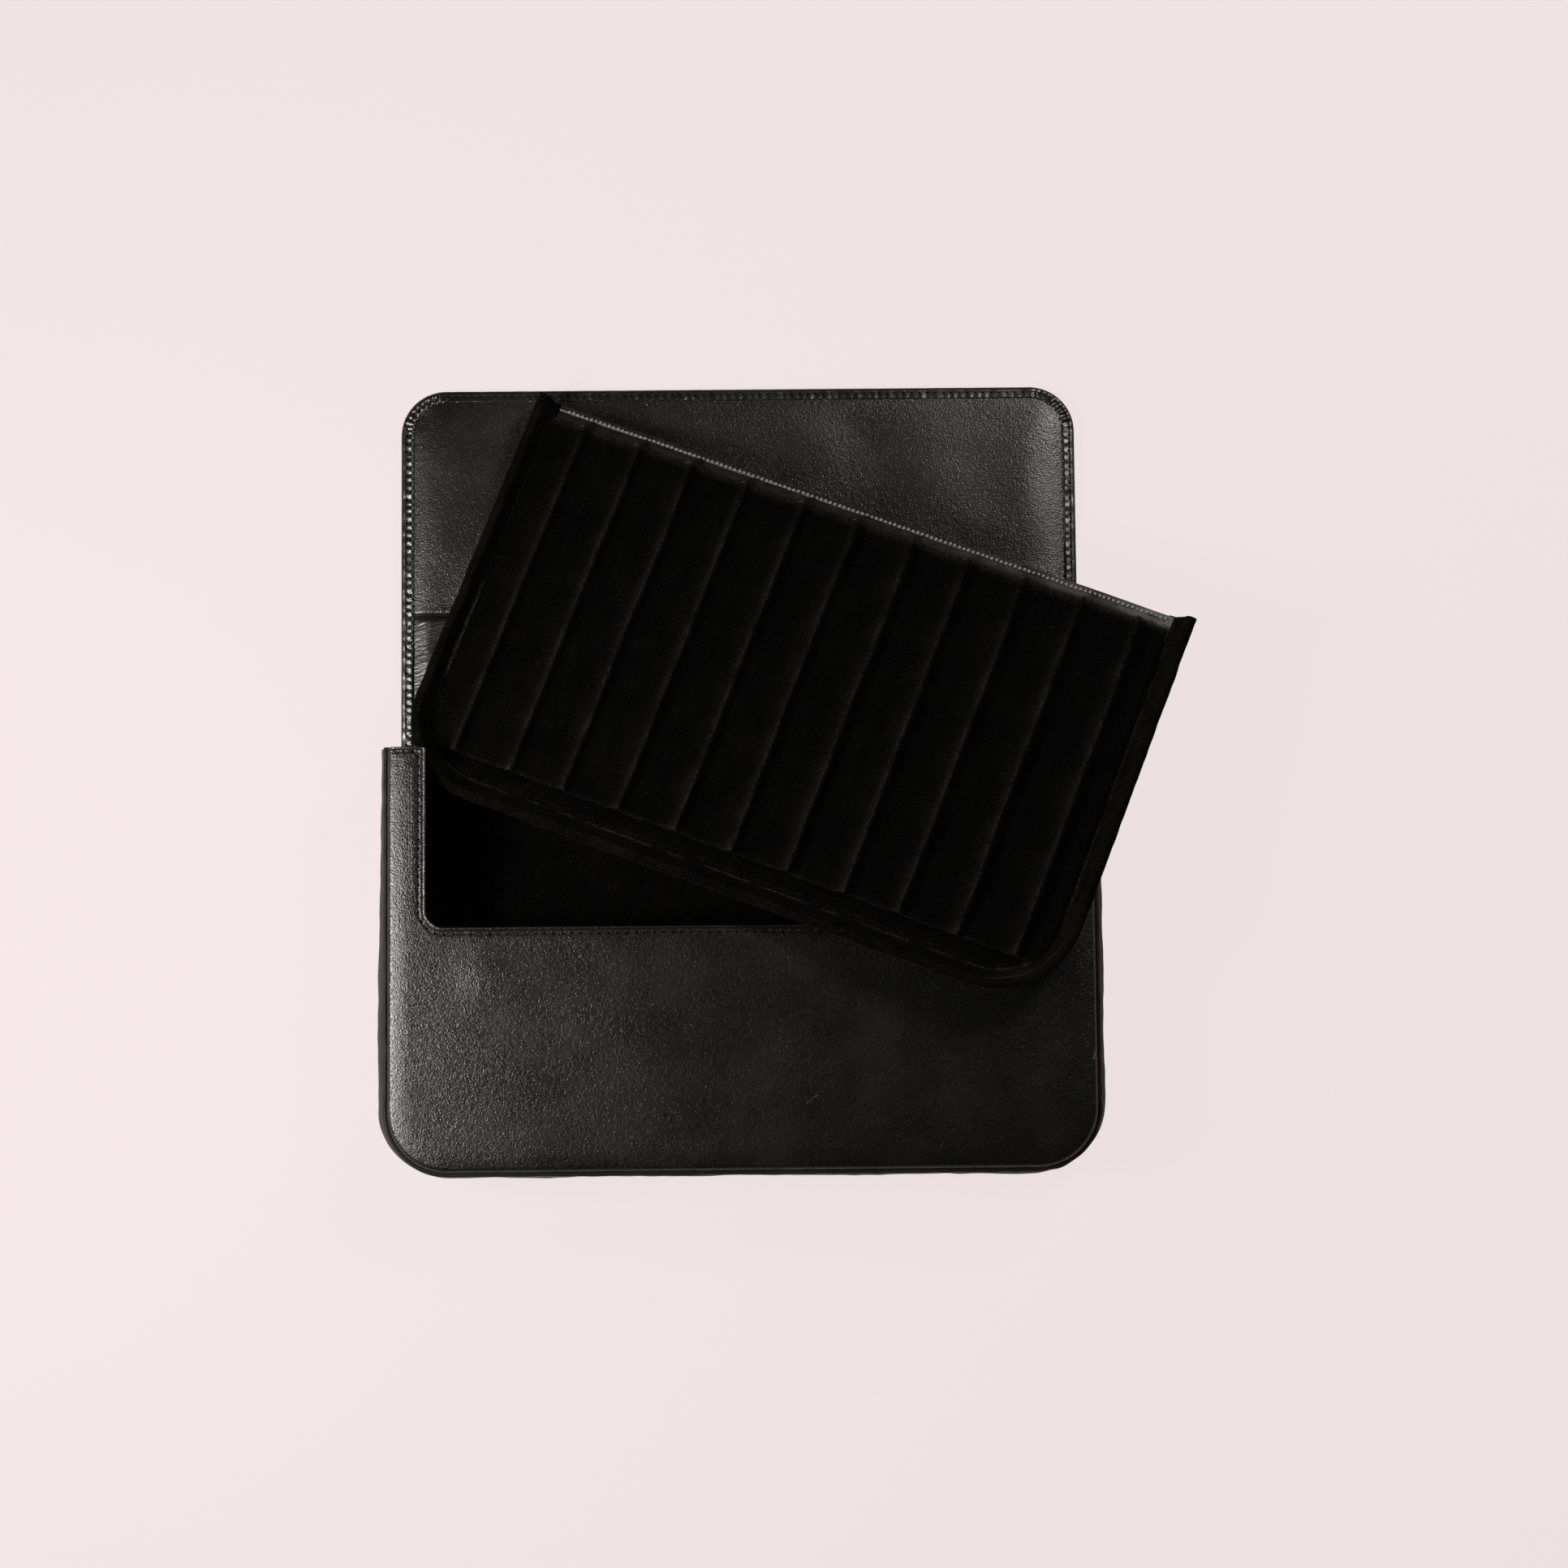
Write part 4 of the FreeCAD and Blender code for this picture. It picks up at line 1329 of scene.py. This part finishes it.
def stitch_tree():
    """Nodes that lay one stitch at each step along a line: a slim bead of thread, slightly uneven."""
    tree = bpy.data.node_groups.new("stitch_row", "GeometryNodeTree")
    kinds = {"line": "Geometry", "pitch": "Float", "length": "Float", "width": "Float", "height": "Float",
             "slant": "Float", "uneven": "Float", "seed": "Int", "thread": "Material"}
    for name, kind in kinds.items():
        tree.interface.new_socket(name, in_out="INPUT", socket_type="NodeSocket" + kind)
    tree.interface.new_socket("stitches", in_out="OUTPUT", socket_type="NodeSocketGeometry")
    inputs = tree.nodes.new("NodeGroupInput")
    result = tree.nodes.new("NodeGroupOutput")
    given = {name: inputs.outputs[name] for name in kinds}

    def add(kind, settings=None, **sockets):
        """The first output of a new node."""
        return add_node(tree, kind, settings, sockets).outputs[0]

    curve = add("GeometryNodeMeshToCurve", Mesh=given["line"])
    steps = add("GeometryNodeResampleCurve", {"mode": "LENGTH"}, Curve=curve, Length=given["pitch"])
    away = add("FunctionNodeRandomValue", {"data_type": "FLOAT_VECTOR"}, Min=(-1.0, -1.0, -1.0),
               Max=(1.0, 1.0, 1.0), Seed=given["seed"])
    shift = add("ShaderNodeVectorMath", {"operation": "SCALE"}, Vector=away, Scale=given["uneven"])
    moved = add("GeometryNodeSetPosition", Geometry=steps, Offset=shift)
    bead = add("GeometryNodeMeshUVSphere", Segments=8, Rings=5, Radius=0.5)
    size = add("ShaderNodeCombineXYZ", X=given["length"], Y=given["width"], Z=given["height"])
    turn = add("ShaderNodeCombineXYZ", Z=given["slant"])
    shaped = add("GeometryNodeTransform", Geometry=bead, Scale=size)
    slanted = add("GeometryNodeTransform", Geometry=shaped, Rotation=turn)
    tangent = add("GeometryNodeInputTangent")
    along = add("FunctionNodeAlignRotationToVector", {"axis": "X"}, Vector=tangent)
    placed = add("GeometryNodeInstanceOnPoints", Points=moved, Instance=slanted, Rotation=along)
    real = add("GeometryNodeRealizeInstances", Geometry=placed)
    smooth = add("GeometryNodeSetShadeSmooth", Geometry=real)
    done = add("GeometryNodeSetMaterial", Geometry=smooth, Material=given["thread"])
    tree.links.new(done, result.inputs[0])
    return tree


stitching = stitch_tree()


def past(line, distance):
    """The rest of a line beyond a distance along it."""
    steps = np.linalg.norm(np.diff(line, axis=0), axis=1)
    length = np.concatenate([[0.0], np.cumsum(steps)])
    start = [np.interp(distance, length, line[:, axis]) for axis in range(3)]
    return np.vstack([start, line[length > distance]])


def stitch_row(name, lines, kind, place=None, holes=False):
    """Rows of stitches along lines of points in millimetres, or dark dots of painted shade for the holes at
    their ends, as one mesh.
    """
    mesh = bpy.data.meshes.new(name + "_line")
    if not holes:
        lines = [past(line, stitch_pitch[kind] / 2) for line in lines]
    points = np.vstack(lines)
    edges = []
    first = 0
    for line in lines:
        edges += [(first + index, first + index + 1) for index in range(len(line) - 1)]
        first += len(line)
    mesh.from_pydata((points / metre).tolist(), edges, [])
    guide = bpy.data.objects.new(name + "_line", mesh)
    bpy.context.scene.collection.objects.link(guide)
    rows = guide.modifiers.new("stitches", "NODES")
    rows.node_group = stitching
    length, width, height, slant = hole_shade_size if holes else stitch_sizes[kind]
    values = {"pitch": stitch_pitch[kind] / metre, "length": length / metre, "width": width / metre,
              "height": height / metre, "slant": math.radians(slant), "uneven": stitch_uneven / metre,
              "seed": len(name), "thread": hole_shade if holes else stitch_thread[kind]}
    for item in stitching.interface.items_tree:
        if item.name in values:
            rows[item.identifier] = values[item.name]
    bpy.context.view_layer.update()
    graph = bpy.context.evaluated_depsgraph_get()
    made = bpy.data.meshes.new_from_object(guide.evaluated_get(graph))
    bpy.data.objects.remove(guide)
    if place is not None:
        made.transform(Matrix([*np.column_stack([place[:3, :3], place[:3, 3] / metre]), (0, 0, 0, 1)]))
    made.name = name
    row = bpy.data.objects.new(name, made)
    bpy.context.scene.collection.objects.link(row)
    return row


def hem_line(inset):
    """A line on the hem, along the tops of the limbs and round the cut-out, cut across at their corners."""
    cut = 1.6
    foot, corner = cutout_foot - inset, cutout_corner + inset
    track = Track(half_cutout + inset, mouth - inset - cut, foot, corner, step=0.8)
    count = 20
    right = np.column_stack([np.linspace(half_case - inset, half_cutout + inset + cut, count),
                             np.full(count, mouth - inset / top_hem)])
    flat = np.vstack([right, track.points, (right * (-1, 1))[::-1]])
    return np.column_stack([flat, front_height(flat[:, 0], flat[:, 1])])


def hem_stitches():
    """The stitches of the hem: slanted threads, and dots of painted shade for the needle holes beside them.
    """
    proud = np.array([0.0, 0.0, 0.10])
    thread_inset = 1.85
    for name, holes, inset in (("hem_stitches", False, thread_inset), ("hem_holes", True, stitch_inset)):
        ride(stitch_row(name, [hem_line(inset) + proud], "hem", None, holes), "case", "case_leather")


front_panel()
hem_stitches()
back_panel()
gusset()
piping("front_piping", "front_welt", stand=0.7)
piping("back_piping", "back_welt", stand=1.7)
binding()
spine()
flap_skins()
pocket()
tray_wall()
tray_lip()
pleated_pad()

# CAD nodes that keep their own shape
kept_finishes = {
    lining_suede: ("back_lining", "front_lining"),
    flap_leather: ("tray_base_cover",),
    pad_suede: ("tray_floor_lining",),
    board_stock: ("back_board", "front_board", "flap_board", "tray_base_board"),
    felt_stock: ("spine_felt", "flap_felt"),
}
for finish, names in kept_finishes.items():
    for name in names:
        nodes[name].data.materials.clear()
        nodes[name].data.materials.append(finish)


pale = (0.855, 0.760, 0.760, 1.0)  # the background's colour
floor_grey = grey(0.45, warmth=0.05)
lamp_colour = (1.0, 0.94, 0.91)
air_colour = (1.0, 0.97, 0.96, 1.0)


def floor_finish():
    """A floor that is pale to the camera, faint in reflections and grey in the light that it throws."""
    finish = Finish("floor_pale", Roughness=0.9, Specular_IOR_Level=0.1)
    seen, mirrored, through = (finish.node("ShaderNodeLightPath", output=f"Is {kind} Ray")
                               for kind in ("Camera", "Glossy", "Transmission"))
    mirror_share, glow_share = 0.12, 0.95
    shown = seen.math("MAXIMUM", seen.math("MAXIMUM", seen, mirrored * mirror_share), through)
    finish.set("Base Color", finish.mix(shown, floor_grey, pale))
    shade = Value(finish, finish.shader.outputs[0])
    glow = finish.node("ShaderNodeEmission", None, {"Color": pale})
    mixed = finish.node("ShaderNodeMixShader", None, {0: shown * glow_share, 1: shade, 2: glow})
    output = next(node for node in finish.tree.nodes if node.type == "OUTPUT_MATERIAL")
    finish.tree.links.new(mixed.socket, output.inputs["Surface"])
    return finish.material


def floor():
    """The floor, just below the object, which keeps its shadow."""
    reach = 6.0
    below = -0.0002
    mesh = bpy.data.meshes.new("floor")
    corners = [(-reach, -reach), (reach, -reach), (reach, reach), (-reach, reach)]
    mesh.from_pydata([(*corner, below) for corner in corners], [], [(0, 1, 2, 3)])
    mesh.materials.append(floor_finish())
    ground = bpy.data.objects.new("floor", mesh)
    bpy.context.scene.collection.objects.link(ground)


def softbox(name, place, target, size, power):
    """A square soft light that faces a point. Places are in millimetres."""
    light = bpy.data.lights.new(name, "AREA")
    light.size = size / metre
    light.energy = power
    light.color = lamp_colour
    lamp = bpy.data.objects.new(name, light)
    lamp.location = Vector(place) / metre
    lamp.rotation_euler = (Vector(target) - Vector(place)).to_track_quat("-Z", "Y").to_euler()
    bpy.context.scene.collection.objects.link(lamp)


def surroundings():
    """A studio that is pale near the floor and dark overhead, and as pale as the floor to the camera."""
    world = bpy.data.worlds.new("studio")
    world.use_nodes = True
    tree = world.node_tree
    horizon, overhead, dark_from = 0.6, 0.02, 0.6
    way = add_node(tree, "ShaderNodeTexCoord").outputs["Generated"]
    up = add_node(tree, "ShaderNodeSeparateXYZ", None, {0: way}).outputs["Z"]
    strength = add_node(tree, "ShaderNodeMapRange", {"interpolation_type": "SMOOTHSTEP"},
                        {"Value": up, "From Max": dark_from, "To Min": horizon, "To Max": overhead})
    shade = tree.nodes["Background"]
    shade.inputs["Color"].default_value = air_colour
    tree.links.new(strength.outputs[0], shade.inputs["Strength"])
    shown = add_node(tree, "ShaderNodeBackground", None, {"Color": pale})
    seen = add_node(tree, "ShaderNodeLightPath").outputs["Is Camera Ray"]
    mixed = add_node(tree, "ShaderNodeMixShader", None, {0: seen, 1: shade.outputs[0], 2: shown.outputs[0]})
    tree.links.new(mixed.outputs[0], tree.nodes["World Output"].inputs["Surface"])
    bpy.context.scene.world = world


def camera():
    """The photograph's view, from almost straight above."""
    frame_pixels = 1932
    focal_pixels = 3606.2
    film = 36.0
    place = (7.76, -23.75, 1000.0)
    turns = (("Z", -0.0091), ("X", 0.0831), ("Y", -0.0062))  # radians
    lens = bpy.data.cameras.new("camera")
    lens.sensor_width = film
    lens.lens = film * focal_pixels / frame_pixels
    view = bpy.data.objects.new("camera", lens)
    stand = Matrix.Translation(Vector(place) / metre)
    for axis, angle in turns:
        stand = stand @ Matrix.Rotation(angle, 4, axis)
    view.matrix_world = stand
    bpy.context.scene.collection.objects.link(view)
    bpy.context.scene.camera = view


lit_point = (0.0, 60.0, 20.0)
floor()
softbox("left_light", place=(-370.0, -22.0, 385.0), target=lit_point, size=180.0, power=4.8)
softbox("right_light", place=(450.0, 530.0, 640.0), target=lit_point, size=200.0, power=5.2)
surroundings()
camera()
bpy.context.scene.view_settings.view_transform = "Standard"
